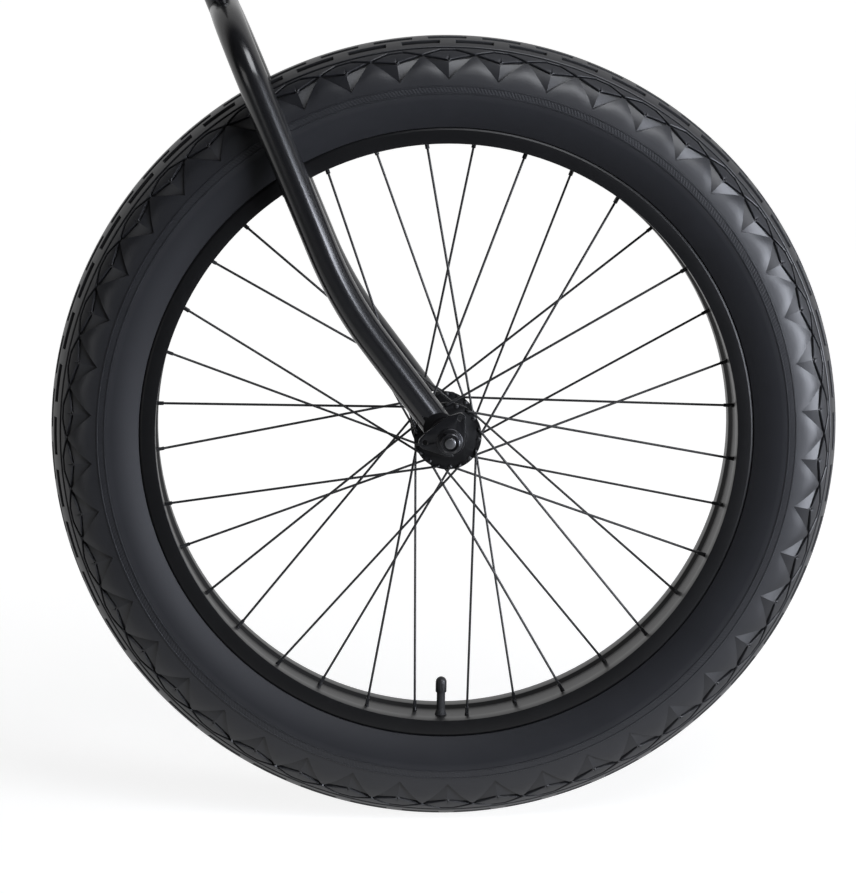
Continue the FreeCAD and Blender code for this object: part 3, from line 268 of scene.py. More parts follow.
# %% Helper that turns a bmesh into a piece
MERGE_DISTANCE = 0.002 * MM


def finish_piece(name, bm, body, material, nodes, sharp_angle):
    bmesh.ops.remove_doubles(bm, verts=bm.verts[:], dist=MERGE_DISTANCE)
    bmesh.ops.recalc_face_normals(bm, faces=bm.faces[:])
    mesh = bpy.data.meshes.new(name)
    bm.to_mesh(mesh)
    bm.free()
    mesh.shade_smooth()
    mesh.set_sharp_from_angle(angle=math.radians(sharp_angle))
    folds = mesh.attributes.get("fold")
    if folds:
        for edge, fold in zip(mesh.edges, folds.data):
            edge.use_edge_sharp = edge.use_edge_sharp or fold.value == 1
    mesh.materials.append(material)
    made = bpy.data.objects.new(name, mesh)
    bpy.context.scene.collection.objects.link(made)
    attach(made, body)
    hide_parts(*nodes)
    mesh.calc_loop_triangles()
    print(name, len(mesh.loop_triangles), "triangles")


def whole(bm):
    """All geometry of a bmesh, as the operators want it."""
    return bm.verts[:] + bm.edges[:] + bm.faces[:]


def corners_of(parts):
    """Corners of edges or faces, each of them once."""
    return list(dict.fromkeys(vert for part in parts for vert in part.verts))


# %% [markdown]
# The tyre carries one pattern forty-six times on each side. Drawing it flat is easiest: a strip that
# runs from the crown of the tread (zero) over the shoulder to the bead, half a step wide. The grid
# is cut along the edges of every groove with bisect_plane, the cut points are sunk or raised, and the
# strip is then wrapped on the tyre's section, mirrored and spun round the axle. The strip is drawn in
# millimetres.

# %% Section of the tyre, by the distance from the crown along its skin
CROWN_CURVE = 56.0
CROWN_RADIUS = 368.0
TREAD_EDGE = 38.0
WIDEST_RADIUS = 319.985
HALF_WIDTH = 50.5
FLANGE_RADIUS = 285.6
RIM_HALF_WIDTH = 40.0
ROUND_OFF = 0.001
crown_arc = math.asin(TREAD_EDGE / CROWN_CURVE)
edge_radius = CROWN_RADIUS - CROWN_CURVE * (1 - math.cos(crown_arc))


def bulge(width, height):
    """Radius of an arc that falls back by a width over a height."""
    return (width ** 2 + height ** 2) / (2 * width)


shoulder_curve = bulge(HALF_WIDTH - TREAD_EDGE, edge_radius - WIDEST_RADIUS)
shoulder_arc = math.asin((edge_radius - WIDEST_RADIUS) / shoulder_curve)
wall_curve = bulge(HALF_WIDTH - RIM_HALF_WIDTH, WIDEST_RADIUS - FLANGE_RADIUS)
wall_arc = math.asin((WIDEST_RADIUS - FLANGE_RADIUS) / wall_curve)
EDGE = CROWN_CURVE * crown_arc
WIDEST = EDGE + shoulder_curve * shoulder_arc
BEAD = WIDEST + wall_curve * wall_arc
# The strip goes on past the bead, over its seat and back along the lining to the crown
lining = [(BEAD, FLANGE_RADIUS, RIM_HALF_WIDTH), (BEAD + 3, FLANGE_RADIUS, 37.5), (BEAD + 9, 279.6, 37.5),
          (BEAD + 15, 279.6, 31.1), (BEAD + 23, 287.0, 33.6), (BEAD + 40, 302.0, 43.9),
          (BEAD + 58, 320.0, 47.0), (BEAD + 78, 338.0, 42.9), (BEAD + 90, 347.2, 32.6),
          (BEAD + 108, 356.7, 17.3), (BEAD + 126, 360.0, 0.0)]


def skin_spot(along):
    """Radius and axial place of the skin, and its normal's lean, at a distance from the crown."""
    if along <= EDGE:
        lean = along / CROWN_CURVE
        radius = CROWN_RADIUS - CROWN_CURVE * (1 - math.cos(lean))
        return radius, CROWN_CURVE * math.sin(lean), lean
    if along <= BEAD:
        curve = shoulder_curve if along <= WIDEST else wall_curve
        rise = (WIDEST - along) / curve
        axial = HALF_WIDTH - curve * (1 - math.cos(rise))
        return WIDEST_RADIUS + curve * math.sin(rise), axial, math.pi / 2 - rise
    for (start, radius, axial), (end, next_radius, next_axial) in zip(lining, lining[1:]):
        if along <= end + ROUND_OFF:
            part = (along - start) / (end - start)
            return radius + (next_radius - radius) * part, axial + (next_axial - axial) * part, 0.0
    return lining[-1][1], 0.0, 0.0


print("tread edge, widest line and bead at", round(EDGE, 1), round(WIDEST, 1), round(BEAD, 1), "mm")

# %% [markdown]
# The heights of the pattern come from a few rules. A groove is flat at its bottom and has a steep wall
# and a rounded lip, so its height follows from the distance to its middle line. The crossing grooves
# leave diamond blocks, each with a pin hole in its lower corner. Under that corner a notch runs to a
# tip, with a low wall along its edges and two flat facets that rise to the middle and to the block.
# Between two notches the shoulder swells a little. The ribs at the widest line stand up.

# %% Heights of the tread pattern
STEP = 50.0
LIP = 0.35
LIP_SHARE = 0.15
WALL = 0.80
GROOVE_DEPTH = 2.5
slot_rows = [(13.0, 0.0), (24.0, STEP / 2)]
SLOT_HALF_WIDTH = 3.25
SLOT_HALF_LENGTH = 18.0
RING_GROOVE = 34.2
RING_HALF_WIDTH = 1.2
CROSSING = Vector((STEP / 2, 44.0))
ARM_TOP_SHARE = 0.15
ARM_FOOT_SHARE = 0.91
ARM_TOP = Vector((STEP * ARM_TOP_SHARE, 38.0))
ARM_BAR = Vector((0.0, 38.0))
BLOCK_CORNER = Vector((0.0, 50.6))
ARM_FOOT = CROSSING.lerp(BLOCK_CORNER, ARM_FOOT_SHARE)
ARM_HALF_WIDTH = 1.2
PIN_HOLE = Vector((0.0, 48.7))
PIN_RADIUS = 1.0
NOTCH_TIP = Vector((0.0, 69.0))
NOTCH_DEPTH = 2.6
NOTCH_WALL = 0.6
SWELL = 0.7
SWELL_RUN = 6.0
RIB_OFFSET = 3.3
RIBS = [WIDEST - RIB_OFFSET, WIDEST + RIB_OFFSET]
RIB_HALF_WIDTH = 0.6
RIB_HEIGHT = 0.6
RIB_SLOPE = 0.3
# Share of painted shade that a hollow gets, against a full share in a groove
HOLLOW_SHADE = 0.25


def groove_height(distance):
    """Height at a distance outside a groove's edge, which is negative inside it."""
    if distance >= LIP:
        return 0.0
    if distance <= -WALL:
        return -GROOVE_DEPTH
    middle = -LIP / 2
    if distance >= middle:
        return -LIP_SHARE * GROOVE_DEPTH * (LIP - distance) / (LIP - middle)
    return -GROOVE_DEPTH * (LIP_SHARE + (1 - LIP_SHARE) * (middle - distance) / (middle + WALL))


def segment_distance(spot, start, end):
    run = end - start
    share = min(1.0, max(0.0, (spot - start).dot(run) / run.length_squared))
    return (spot - start - run * share).length


def below_arm(spot):
    """How far a spot lies below the lower arm of the crossing, towards the bead."""
    run = (CROSSING - BLOCK_CORNER).normalized()
    across = Vector((-run.y, run.x))
    return (spot - BLOCK_CORNER).dot(across)


def inside_notch(spot):
    """How far a spot lies inside a notch's edge, which runs from its tip to the crossing."""
    edge = (CROSSING - NOTCH_TIP).normalized()
    return (spot - NOTCH_TIP).dot(Vector((edge.y, -edge.x)))


def shoulder_height(spot):
    """Height of the shoulder below the blocks: its notches, and the swell between them."""
    inside = inside_notch(spot)
    if inside > NOTCH_WALL:
        reach = inside_notch(BLOCK_CORNER)
        return -NOTCH_DEPTH * max(0.0, reach - inside) / (reach - NOTCH_WALL)
    if inside > 0:
        return -NOTCH_DEPTH * inside / NOTCH_WALL
    rise = math.sin(math.pi * max(0.0, NOTCH_TIP.y - spot.y) / (NOTCH_TIP.y - CROSSING.y))
    return SWELL * rise * min(1.0, -inside / SWELL_RUN)


def pattern_height(spot):
    """Height of the whole pattern over the plain skin, for a spot in the strip's half step."""
    height = 0.0
    for along, middle in slot_rows:
        side = abs(spot.y - along) - SLOT_HALF_WIDTH
        tip = abs(spot.x - middle) - SLOT_HALF_LENGTH
        height = min(height, groove_height(max(side, tip)))
    height = min(height, groove_height(abs(spot.y - RING_GROOVE) - RING_HALF_WIDTH))
    for start, end in ((CROSSING, ARM_TOP), (CROSSING, ARM_FOOT), (ARM_TOP, ARM_BAR)):
        gap = segment_distance(spot, start, end) - ARM_HALF_WIDTH
        height = min(height, groove_height(gap))
    height = min(height, groove_height((spot - PIN_HOLE).length - PIN_RADIUS))
    if below_arm(spot) > 0:
        shoulder = shoulder_height(spot)
        height = min(height, shoulder) if shoulder < 0 else height + shoulder
    for rib in RIBS:
        gap = abs(spot.y - rib) - RIB_HALF_WIDTH
        height += RIB_HEIGHT * min(1.0, max(0.0, 0.5 - gap / RIB_SLOPE))
    return height


def painted_groove_shade(spot):
    """How dark a spot is painted, as painted shade: one at the bottom of a groove, less in a hollow."""
    height = pattern_height(spot)
    share = HOLLOW_SHADE if below_arm(spot) > ARM_HALF_WIDTH + LIP else 1.0
    return share * min(1.0, max(0.0, -height / GROOVE_DEPTH))


print("height in a slot:", pattern_height(Vector((0, 13))), "mm")

# %% [markdown]
# A plane cut keeps the faces few: there are points only where the height changes. Each cut is held to a
# band of the strip, so that the edge of a slot doesn't run on through the side wall.

# %% Cut the flat strip along the edges of its grooves
GROOVE_EDGES = (LIP, -LIP / 2, -WALL)
PIN_EDGES = (0.45, 0.0, -0.5)
ARM_TOP_BAND = (35.7, 45.8)
ARM_FOOT_BAND = (42.0, 52.6)
BAR_BAND = (36.0, 40.0)
BAR_REACH = 9.0
PIN_BAND = (47.0, 50.6)
PIN_REACH = 4.0
NOTCH_BAND = (42.0, NOTCH_TIP.y)
DOME_BAND = (47.0, NOTCH_TIP.y)
dome_columns = (4.0, 9.0, 15.5, 20.5)
CUT_OVERRUN = 0.1
CUT_SNAP = 0.0001


def cut_strip(bm, spot, direction, low, high, reach=STEP):
    """Bisect the part of the strip between two distances along a line in its plane."""
    middles = {face: face.calc_center_median() for face in bm.faces}
    faces = [face for face, middle in middles.items() if low <= middle.y <= high and middle.x <= reach]
    edges = list(dict.fromkeys(edge for face in faces for edge in face.edges))
    across = Vector((-direction[1], direction[0], 0))
    bmesh.ops.bisect_plane(bm, geom=faces + edges + corners_of(faces), dist=CUT_SNAP,
                           plane_co=(*spot, 0), plane_no=across)


END = lining[-1][0]
strip = bmesh.new()
bmesh.ops.create_grid(strip, x_segments=4, y_segments=1, size=1.0)
bmesh.ops.transform(strip, verts=strip.verts, matrix=Matrix.Diagonal((STEP / 4, END / 2, 1, 1)))
bmesh.ops.translate(strip, verts=strip.verts, vec=(STEP / 4, END / 2, 0))
# Rows that follow the section's curve come first, and then the edges of grooves and ribs
rows = [4.0, 19.0, 29.5, EDGE, 48.0, 50.6, 53.0, 55.5, 58.0, 61.0, 65.0, NOTCH_TIP.y, 73.0, WIDEST, 86.0,
        91.0, 96.0, 101.0, 106.0, 110.0]
rows += [row[0] for row in lining[:-1]]
for along, _ in slot_rows:
    for gap in GROOVE_EDGES:
        rows += [along - SLOT_HALF_WIDTH - gap, along + SLOT_HALF_WIDTH + gap]
for gap in GROOVE_EDGES:
    rows += [RING_GROOVE - RING_HALF_WIDTH - gap, RING_GROOVE + RING_HALF_WIDTH + gap]
for rib in RIBS:
    rows += [rib + way * (RIB_HALF_WIDTH + gap) for way in (-1, 1)
             for gap in (-RIB_SLOPE / 2, RIB_SLOPE / 2)]
for row in rows:
    cut_strip(strip, (0, row), (1, 0), 0, END)
for along, middle in slot_rows:
    tip = abs(middle - SLOT_HALF_LENGTH)
    way = 1 if middle == 0 else -1
    reach = SLOT_HALF_WIDTH + LIP + CUT_OVERRUN
    for gap in GROOVE_EDGES:
        cut_strip(strip, (tip + way * gap, 0), (0, 1), along - reach, along + reach)
for end, band in ((ARM_TOP, ARM_TOP_BAND), (ARM_FOOT, ARM_FOOT_BAND)):
    run = (end - CROSSING).normalized()
    side = Vector((-run.y, run.x))
    for way in (-1, 1):
        for gap in GROOVE_EDGES:
            cut_strip(strip, CROSSING + side * way * (ARM_HALF_WIDTH + gap), run, *band)
for way in (-1, 1):
    for gap in GROOVE_EDGES:
        spot = ARM_BAR + Vector((0, way * (ARM_HALF_WIDTH + gap)))
        cut_strip(strip, spot, (1, 0), *BAR_BAND, BAR_REACH)
# A notch's edge lies at forty-five degrees, so the foot of its wall is a diagonal further in
for inset in (0.0, NOTCH_WALL * math.sqrt(2)):
    cut_strip(strip, NOTCH_TIP - Vector((0, inset)), CROSSING - NOTCH_TIP, *NOTCH_BAND)
for column in dome_columns:
    cut_strip(strip, (column, 0), (0, 1), *DOME_BAND)
for gap in PIN_EDGES:
    cut_strip(strip, (PIN_RADIUS + gap, 0), (0, 1), *PIN_BAND, PIN_REACH)
    for way in (-1, 1):
        spot = PIN_HOLE + Vector((0, way * (PIN_RADIUS + gap)))
        cut_strip(strip, spot, (1, 0), *PIN_BAND, PIN_REACH)
print("strip cut into", len(strip.faces), "faces")

# %% [markdown]
# While the strip is flat, it gets its unwrapping, and the crease in the middle of the notch is marked as
# a fold. Then each point goes to its place on the wheel, raised or sunk along the skin's normal. Mirror
# makes the other half, and spin carries the step round.

# %% Wrap the strip on the section, mirror it and carry it round
STEPS = 46
SKIN_SCALE = 100.0
FOLD_START = 52.0
PATTERN_END = BEAD - 1
TOUCH = 0.01
step_angle = FULL_TURN / STEPS
first_angle = math.radians(3.8)
bmesh.ops.mirror(strip, geom=whole(strip), axis="X", merge_dist=ROUND_OFF)
bmesh.ops.triangulate(strip, faces=[face for face in strip.faces if len(face.verts) > 4])
fold_layer = strip.edges.layers.int.new("fold")
for edge in strip.edges:
    if all(abs(vert.co.x) < TOUCH and FOLD_START < vert.co.y < NOTCH_TIP.y + TOUCH for vert in edge.verts):
        edge[fold_layer] = 1
unwrap = strip.loops.layers.uv.new("skin")
for face in strip.faces:
    for loop in face.loops:
        loop[unwrap].uv = (loop.vert.co.x / STEP + 0.5, loop.vert.co.y / SKIN_SCALE)
# Each point carries its share of painted shade, which darkens the colour in grooves and hollows
painted_shade_layer = strip.verts.layers.float.new("groove")
for vert in strip.verts:
    spot = Vector((abs(vert.co.x), vert.co.y))
    radius, axial, lean = skin_spot(spot.y)
    lift = pattern_height(spot) if spot.y < PATTERN_END else 0.0
    vert[painted_shade_layer] = painted_groove_shade(spot)
    radius += lift * math.cos(lean)
    axial += lift * math.sin(lean)
    turn = first_angle + vert.co.x / STEP * step_angle
    vert.co = HUB + Vector((radius * math.cos(turn), -axial, radius * math.sin(turn))) * MM
bmesh.ops.mirror(strip, geom=whole(strip), axis="Y", merge_dist=ROUND_OFF * MM)
bmesh.ops.spin(strip, geom=whole(strip), cent=HUB, axis=AXLE, angle=FULL_TURN * (STEPS - 1) / STEPS,
               steps=STEPS - 1, use_duplicate=True)
print("tyre faces:", len(strip.faces))

# %% [markdown]
# Tyre rubber is a dark grey that is a little blue in the light and finely grained, with a soft gloss on
# the tread and a matt side wall inside the ribs. The material reads the strip's own unwrapping, so the
# moulded hatch between the two ribs follows the wheel. The hatch is a bump, because each line is only
# half a millimetre wide. The grooves and hollows get a painted shade: their colour is painted darker
# by the share that each point carries.

# %% Rubber of the tyre
HATCH_LINES = 14.0
HATCH_SLANT = 20.0
HATCH_HALF_WIDTH = 2.6
HATCH_HEIGHT = 0.8 * MM
HATCH_STRENGTH = 0.35
# Colour of the painted shade at the bottom of a groove
PAINTED_SHADE_TONE = (0.004, 0.004, 0.0045, 1)
MATT_RUN = (0.80, 0.88)
MATT_ROUGHENING = 0.16
TREAD_GLOSS = 0.60
WALL_GLOSS = 0.26


def make_tyre_rubber():
    material = make_finish("tyre_rubber", (0.009, 0.0094, 0.0115), (0.017, 0.0176, 0.021), (0.34, 0.46),
                           specular=0.55, grain=900, cloud=30, bump=0.2)
    tree = material.node_tree
    shader = tree.nodes["Principled BSDF"]
    relief = shader.inputs["Normal"].links[0].from_node
    place = add_node(tree, "ShaderNodeUVMap", uv_map="skin")
    parts = add_node(tree, "ShaderNodeSeparateXYZ")
    tree.links.new(place.outputs["UV"], parts.inputs["Vector"])
    slant = add_node(tree, "ShaderNodeMath", operation="MULTIPLY_ADD")
    slant.inputs[1].default_value = HATCH_SLANT
    tree.links.new(parts.outputs["Y"], slant.inputs[0])
    lines = add_node(tree, "ShaderNodeMath", operation="MULTIPLY_ADD")
    lines.inputs[1].default_value = HATCH_LINES
    tree.links.new(parts.outputs["X"], lines.inputs[0])
    tree.links.new(slant.outputs["Value"], lines.inputs[2])
    wave = add_node(tree, "ShaderNodeMath", operation="PINGPONG")
    wave.inputs[1].default_value = 0.5
    tree.links.new(lines.outputs["Value"], wave.inputs[0])
    band = add_node(tree, "ShaderNodeMath", operation="COMPARE")
    band.inputs[1].default_value = WIDEST / SKIN_SCALE
    band.inputs[2].default_value = HATCH_HALF_WIDTH / SKIN_SCALE
    tree.links.new(parts.outputs["Y"], band.inputs[0])
    hatch = combine(tree, "MULTIPLY", wave.outputs["Value"], band.outputs["Value"])
    # Painted shade: the colour is painted darker in grooves and hollows, by the share each point carries
    depth = add_node(tree, "ShaderNodeAttribute", attribute_name="groove")
    shade = add_node(tree, "ShaderNodeMix", data_type="RGBA")
    shade.inputs["B"].default_value = PAINTED_SHADE_TONE
    tree.links.new(depth.outputs["Fac"], shade.inputs["Factor"])
    tree.links.new(shader.inputs["Base Color"].links[0].from_socket, shade.inputs["A"])
    tree.links.new(shade.outputs["Result"], shader.inputs["Base Color"])
    # Inside the ribs the side wall is matt
    rough = shader.inputs["Roughness"].links[0].from_socket
    matt = ramp(tree, parts.outputs["Y"], *MATT_RUN, 0.0, MATT_ROUGHENING)
    tree.links.new(combine(tree, "ADD", rough, matt), shader.inputs["Roughness"])
    gloss = ramp(tree, parts.outputs["Y"], *MATT_RUN, TREAD_GLOSS, WALL_GLOSS)
    tree.links.new(gloss, shader.inputs["Specular IOR Level"])
    ridges = add_node(tree, "ShaderNodeBump")
    ridges.inputs["Strength"].default_value = HATCH_STRENGTH
    ridges.inputs["Distance"].default_value = HATCH_HEIGHT
    tree.links.new(hatch, ridges.inputs["Height"])
    tree.links.new(ridges.outputs["Normal"], relief.inputs["Normal"])
    return material


tyre_rubber = make_tyre_rubber()
finish_piece("moulded_tyre", strip, "wheel", tyre_rubber, ["tyre"], sharp_angle=28)

# %% [markdown]
# A rim is one section of metal rolled into a ring, so a spin of that section is the natural way to make
# it. A face is drawn with the section's corners, bevel rounds the corners, and the outline that is left
# is spun round the axle.

# %% Helper that spins a rounded section
def spin_section(bm, corners, rounding, steps):
    """Spin a closed section of (radius, axial) corners in millimetres, with its corners rounded."""
    verts = [bm.verts.new(HUB + Vector((radius, axial, 0)) * MM) for radius, axial in corners]
    bm.faces.new(verts)
    bmesh.ops.bevel(bm, geom=verts, offset=rounding * MM, offset_type="OFFSET", affect="VERTICES",
                    segments=3, profile=0.5, material=-1)
    outline = bm.faces[:][-1]
    loop = outline.edges[:]
    bmesh.ops.delete(bm, geom=[outline], context="FACES_ONLY")
    bmesh.ops.spin(bm, geom=corners_of(loop) + loop, cent=HUB, axis=AXLE, angle=FULL_TURN, steps=steps,
                   use_merge=True)


def both_sides(half):
    return half + [(radius, -axial) for radius, axial in reversed(half)]


# %% Rim with its stepped spoke bed
RIM_ROUNDING = 0.45
RIM_STEPS = 180
rim_half = [(273.5, 20.0), (270.3, 24.0), (270.3, RIM_HALF_WIDTH), (283.0, RIM_HALF_WIDTH), (285.5, 38.6),
            (285.5, 37.6), (279.5, 37.6), (279.5, 27.0), (276.0, 22.0)]
rim = bmesh.new()
spin_section(rim, both_sides(rim_half), RIM_ROUNDING, RIM_STEPS)
finish_piece("rolled_rim", rim, "wheel", black_anodised, ["rim"], sharp_angle=40)

# %% [markdown]
# The fork blades are steel tubes bent twice: forward to the axle and inward to the steerer. A tube is
# made as a bender makes it: a circle is pushed along each straight run with extrude, and carried round
# each bend with spin. The foot is then cut to a chisel with two slanted planes, and filled. A small
# vent lets the gas out when the foot is welded: a corner of the mesh is bevelled into a round face,
# and that face is sunk.

# %% Directions of the fork
RAKE = 41.0 * MM
BEND_HEIGHT = 157.0 * MM
CROWN_HEIGHT = 440.0 * MM
BLADE_OFFSET = 70.1 * MM
BLADE_RADIUS = 14.3 * MM
BLADE_END = 19.8 * MM
steering_lean = math.radians(22.0)
up_steerer = Vector((-math.sin(steering_lean), 0, math.cos(steering_lean)))
rake_foot = HUB - Vector((math.cos(steering_lean), 0, math.sin(steering_lean))) * RAKE
bend_point = rake_foot + up_steerer * BEND_HEIGHT
crown_point = rake_foot + up_steerer * CROWN_HEIGHT
up_blade = (bend_point - HUB).normalized()
ahead = AXLE.cross(up_blade)
print("blade leans", round(math.degrees(math.acos(up_blade.z)), 1), "degrees at the axle")


# %% Tube along straight runs and bends
def facing(spot, direction):
    """Matrix that carries a shape to a spot and turns its Z to a direction."""
    return Matrix.Translation(spot) @ direction.to_track_quat("Z", "X").to_matrix().to_4x4()


def only_edges(geometry):
    return [item for item in geometry if isinstance(item, bmesh.types.BMEdge)]


def place_circle(bm, centre, direction, radius, sides):
    """Circle round a direction, as a ring of edges."""
    ring = bmesh.ops.create_circle(bm, radius=radius, segments=sides, matrix=facing(centre, direction))
    return list(dict.fromkeys(edge for vert in ring["verts"] for edge in vert.link_edges))


def push_ring(bm, edges, offset):
    """Extrude a ring of edges by an offset, and return the new ring."""
    made = bmesh.ops.extrude_edge_only(bm, edges=edges)["geom"]
    verts = [item for item in made if isinstance(item, bmesh.types.BMVert)]
    bmesh.ops.translate(bm, verts=verts, vec=offset)
    fresh = set(verts)
    return [edge for edge in only_edges(made) if set(edge.verts) <= fresh]


def bend_tube(bm, points, radii, radius, sides, steps):
    """Tube through points, with a bend of its own radius at each inner point."""
    heading = (points[1] - points[0]).normalized()
    start = points[0]
    edges = place_circle(bm, start, heading, radius, sides)
    for corner, after, bend in zip(points[1:-1], points[2:], radii):
        leaving = (after - corner).normalized()
        half_turn = heading.angle(leaving) / 2
        entry = corner - heading * bend * math.tan(half_turn)
        edges = push_ring(bm, edges, entry - start)
        inward = (leaving - heading).normalized()
        centre = corner + inward * bend / math.cos(half_turn)
        hinge = heading.cross(leaving).normalized()
        made = bmesh.ops.spin(bm, geom=corners_of(edges) + edges, cent=centre, axis=hinge,
                              angle=2 * half_turn, steps=steps)["geom_last"]
        edges = only_edges(made)
        start = corner + leaving * bend * math.tan(half_turn)
        heading = leaving
    edges = push_ring(bm, edges, points[-1] - start)
    bmesh.ops.edgeloop_fill(bm, edges=edges)


def slice_off(bm, spot, normal):
    """Cut everything past a plane away and close the cut."""
    made = bmesh.ops.bisect_plane(bm, geom=whole(bm), plane_co=spot, plane_no=normal, clear_outer=True)
    bmesh.ops.edgeloop_fill(bm, edges=only_edges(made["geom_cut"]))


# %% Blades with a chiselled foot and a vent
CROWN_SLOPE = math.radians(72.0)
BLADE_BENDS = [375.0 * MM, 70.0 * MM]
BLADE_SIDES = 40
BEND_STEPS = 14
CHISEL_HALF_WIDTH = 2.5 * MM
FOOT_REACH = 40.0 * MM
FOOT_CORNER = math.radians(25.0)
FOOT_EASE = 0.7 * MM
VENT_UP = 17.2 * MM
VENT_BACK = 5.7 * MM
VENT_OUT = 13.1 * MM
VENT_RADIUS = 1.5 * MM
VENT_DEPTH = 3.0 * MM
VENT_LIP_SHARE = 0.45
VENT_LIP_FALL_SHARE = 0.3


def sink_vent(bm, spot, inward):
    """Turn the mesh corner nearest to a spot into a small round hole."""
    corner = min(bm.verts, key=lambda vert: (vert.co - spot).length)
    shift = spot - corner.co
    corner.co += shift - inward * shift.dot(inward)
    known = set(bm.faces)
    made = bmesh.ops.bevel(bm, geom=[corner], offset=VENT_RADIUS, offset_type="OFFSET", affect="VERTICES",
                           segments=4, profile=0.5, material=-1)
    around = sorted(set(made["faces"]) - known, key=lambda face: (face.calc_center_median() - spot).length)
    lip = bmesh.ops.inset_region(bm, faces=around[:1], thickness=VENT_LIP_SHARE * VENT_RADIUS,
                                 depth=-VENT_LIP_FALL_SHARE * VENT_RADIUS)
    hole = bmesh.ops.extrude_discrete_faces(bm, faces=around[:1])["faces"]
    bmesh.ops.translate(bm, verts=corners_of(hole), vec=inward * VENT_DEPTH)
    print("vent:", len(around), "faces,", len(lip["faces"]), "in its lip")


def sharp_edges(bm, corner_angle):
    return [edge for edge in bm.edges
            if len(edge.link_faces) == 2 and edge.calc_face_angle() > corner_angle]


def ease_edges(bm, edges, width, segments):
    bmesh.ops.bevel(bm, geom=edges, offset=width, offset_type="OFFSET", affect="EDGES", segments=segments,
                    profile=0.5, material=-1, clamp_overlap=True)


def make_blade(name, node, side):
    outward = AXLE * side
    foot = HUB + up_blade * BLADE_END + outward * BLADE_OFFSET
    points = [
        foot - up_blade * BLADE_RADIUS,
        bend_point + outward * BLADE_OFFSET,
        crown_point - up_steerer * BLADE_OFFSET / math.tan(CROWN_SLOPE) + outward * BLADE_OFFSET,
        crown_point,
    ]
    bm = bmesh.new()
    bend_tube(bm, points, BLADE_BENDS, BLADE_RADIUS, BLADE_SIDES, BEND_STEPS)
    for way in (-1, 1):
        slant = (outward * way - up_blade).normalized()
        slice_off(bm, foot + outward * way * CHISEL_HALF_WIDTH, slant)
    edges = [edge for edge in sharp_edges(bm, FOOT_CORNER)
             if (edge.verts[0].co - foot).length < FOOT_REACH]
    ease_edges(bm, edges, FOOT_EASE, segments=2)
    vent = foot + up_blade * VENT_UP - ahead * VENT_BACK + outward * VENT_OUT
    sink_vent(bm, vent, -outward)
    finish_piece(name, bm, "fork", black_paint, [node], sharp_angle=30)


make_blade("bent_blade_right", "fork_blade_right", RIGHT)
make_blade("bent_blade_left", "fork_blade_left", LEFT)

# %% [markdown]
# Plates, washers and the hub shell have outlines with slots, holes and flats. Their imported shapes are
# already right, so a copy is merged, its flat triangles are joined, and only its sharp edges are
# rounded with bevel, as tumbling and paint round them on the real parts.

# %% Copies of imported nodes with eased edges
FLAT_ANGLE = math.radians(0.5)
COPY_CORNER = math.radians(40.0)


def ease_copy(name, node, width, segments, material):
    bm = bmesh.new()
    bm.from_mesh(frame["nodes"][node].data)
    bmesh.ops.remove_doubles(bm, verts=bm.verts[:], dist=MERGE_DISTANCE)
    bmesh.ops.dissolve_limit(bm, angle_limit=FLAT_ANGLE, verts=bm.verts[:], edges=bm.edges[:])
    ease_edges(bm, sharp_edges(bm, COPY_CORNER), width * MM, segments)
    body = frame["nodes"][node]["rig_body"]
    finish_piece(name, bm, body, material, [node], sharp_angle=38)


ease_copy("eased_end_right", "fork_end_right", width=0.7, segments=3, material=black_paint)
ease_copy("eased_end_left", "fork_end_left", width=0.7, segments=3, material=black_paint)
ease_copy("eased_washers", "axle_washers", width=0.35, segments=2, material=black_oxide)
ease_copy("eased_axle", "hub_axle", width=0.8, segments=3, material=oiled_steel)
ease_copy("eased_hub_shell", "hub_shell", width=0.35, segments=2, material=black_anodised)
ease_copy("eased_steerer", "steerer_tube", width=0.4, segments=2, material=black_paint)
ease_copy("eased_crown_race", "crown_race", width=0.4, segments=2, material=turned_steel)

# %% [markdown]
# An axle nut is a hexagon with a turned crown and a deep round mouth, in which the axle's end shows. A
# circle of points is laid on the hexagon's outline and pushed up ring by ring: the six flats, the
# crown, the lip of the mouth, its wall and its floor.

# %% Axle nuts
NUT_START = 74.8
NUT_HEIGHT = 10.0
NUT_FLATS = 17.0
NUT_POINTS = 48
NUT_MOUTH_FLOOR = 7.0
# Height of each ring, and the round limit of its radius, if it has one
nut_rings = [(0.0, None), (8.6, None), (9.6, 8.9), (NUT_HEIGHT, 8.2), (NUT_HEIGHT, 7.6), (9.6, 7.2),
             (NUT_MOUTH_FLOOR, 7.0), (NUT_MOUTH_FLOOR, 5.15)]


def nut_reach(turn, limit):
    """Distance to the hexagon's outline in a direction, or to a round limit inside it."""
    sixth = math.pi / 3
    flat = NUT_FLATS / 2 / math.cos((turn % sixth) - sixth / 2)
    return flat if limit is None else min(flat, limit)


def make_nut(bm, side):
    seat = HUB + AXLE * side * NUT_START * MM
    edges = place_circle(bm, seat, AXLE * side, MM, NUT_POINTS)
    bmesh.ops.edgeloop_fill(bm, edges=edges)
    height = 0.0
    for index, (rise, limit) in enumerate(nut_rings):
        if index:
            edges = push_ring(bm, edges, AXLE * side * (rise - height) * MM)
        height = rise
        for vert in corners_of(edges):
            centre = HUB + AXLE * (vert.co - HUB).dot(AXLE)
            way = (vert.co - centre).normalized()
            vert.co = centre + way * nut_reach(math.atan2(way.z, way.x), limit) * MM
    bmesh.ops.edgeloop_fill(bm, edges=edges)


nuts = bmesh.new()
make_nut(nuts, RIGHT)
make_nut(nuts, LEFT)
finish_piece("turned_axle_nuts", nuts, "fork", black_oxide, ["axle_nuts"], sharp_angle=30)

# %% [markdown]
# Spokes are drawn wire with an elbow and a domed head behind the flange. One spoke of each of the four
# sets is made with the tube helper and a dome, and spin copies it round the hub, nine in all. The rim
# holes, the crossing and the flange sides are those of a thirty-six spoke, three-cross wheel.

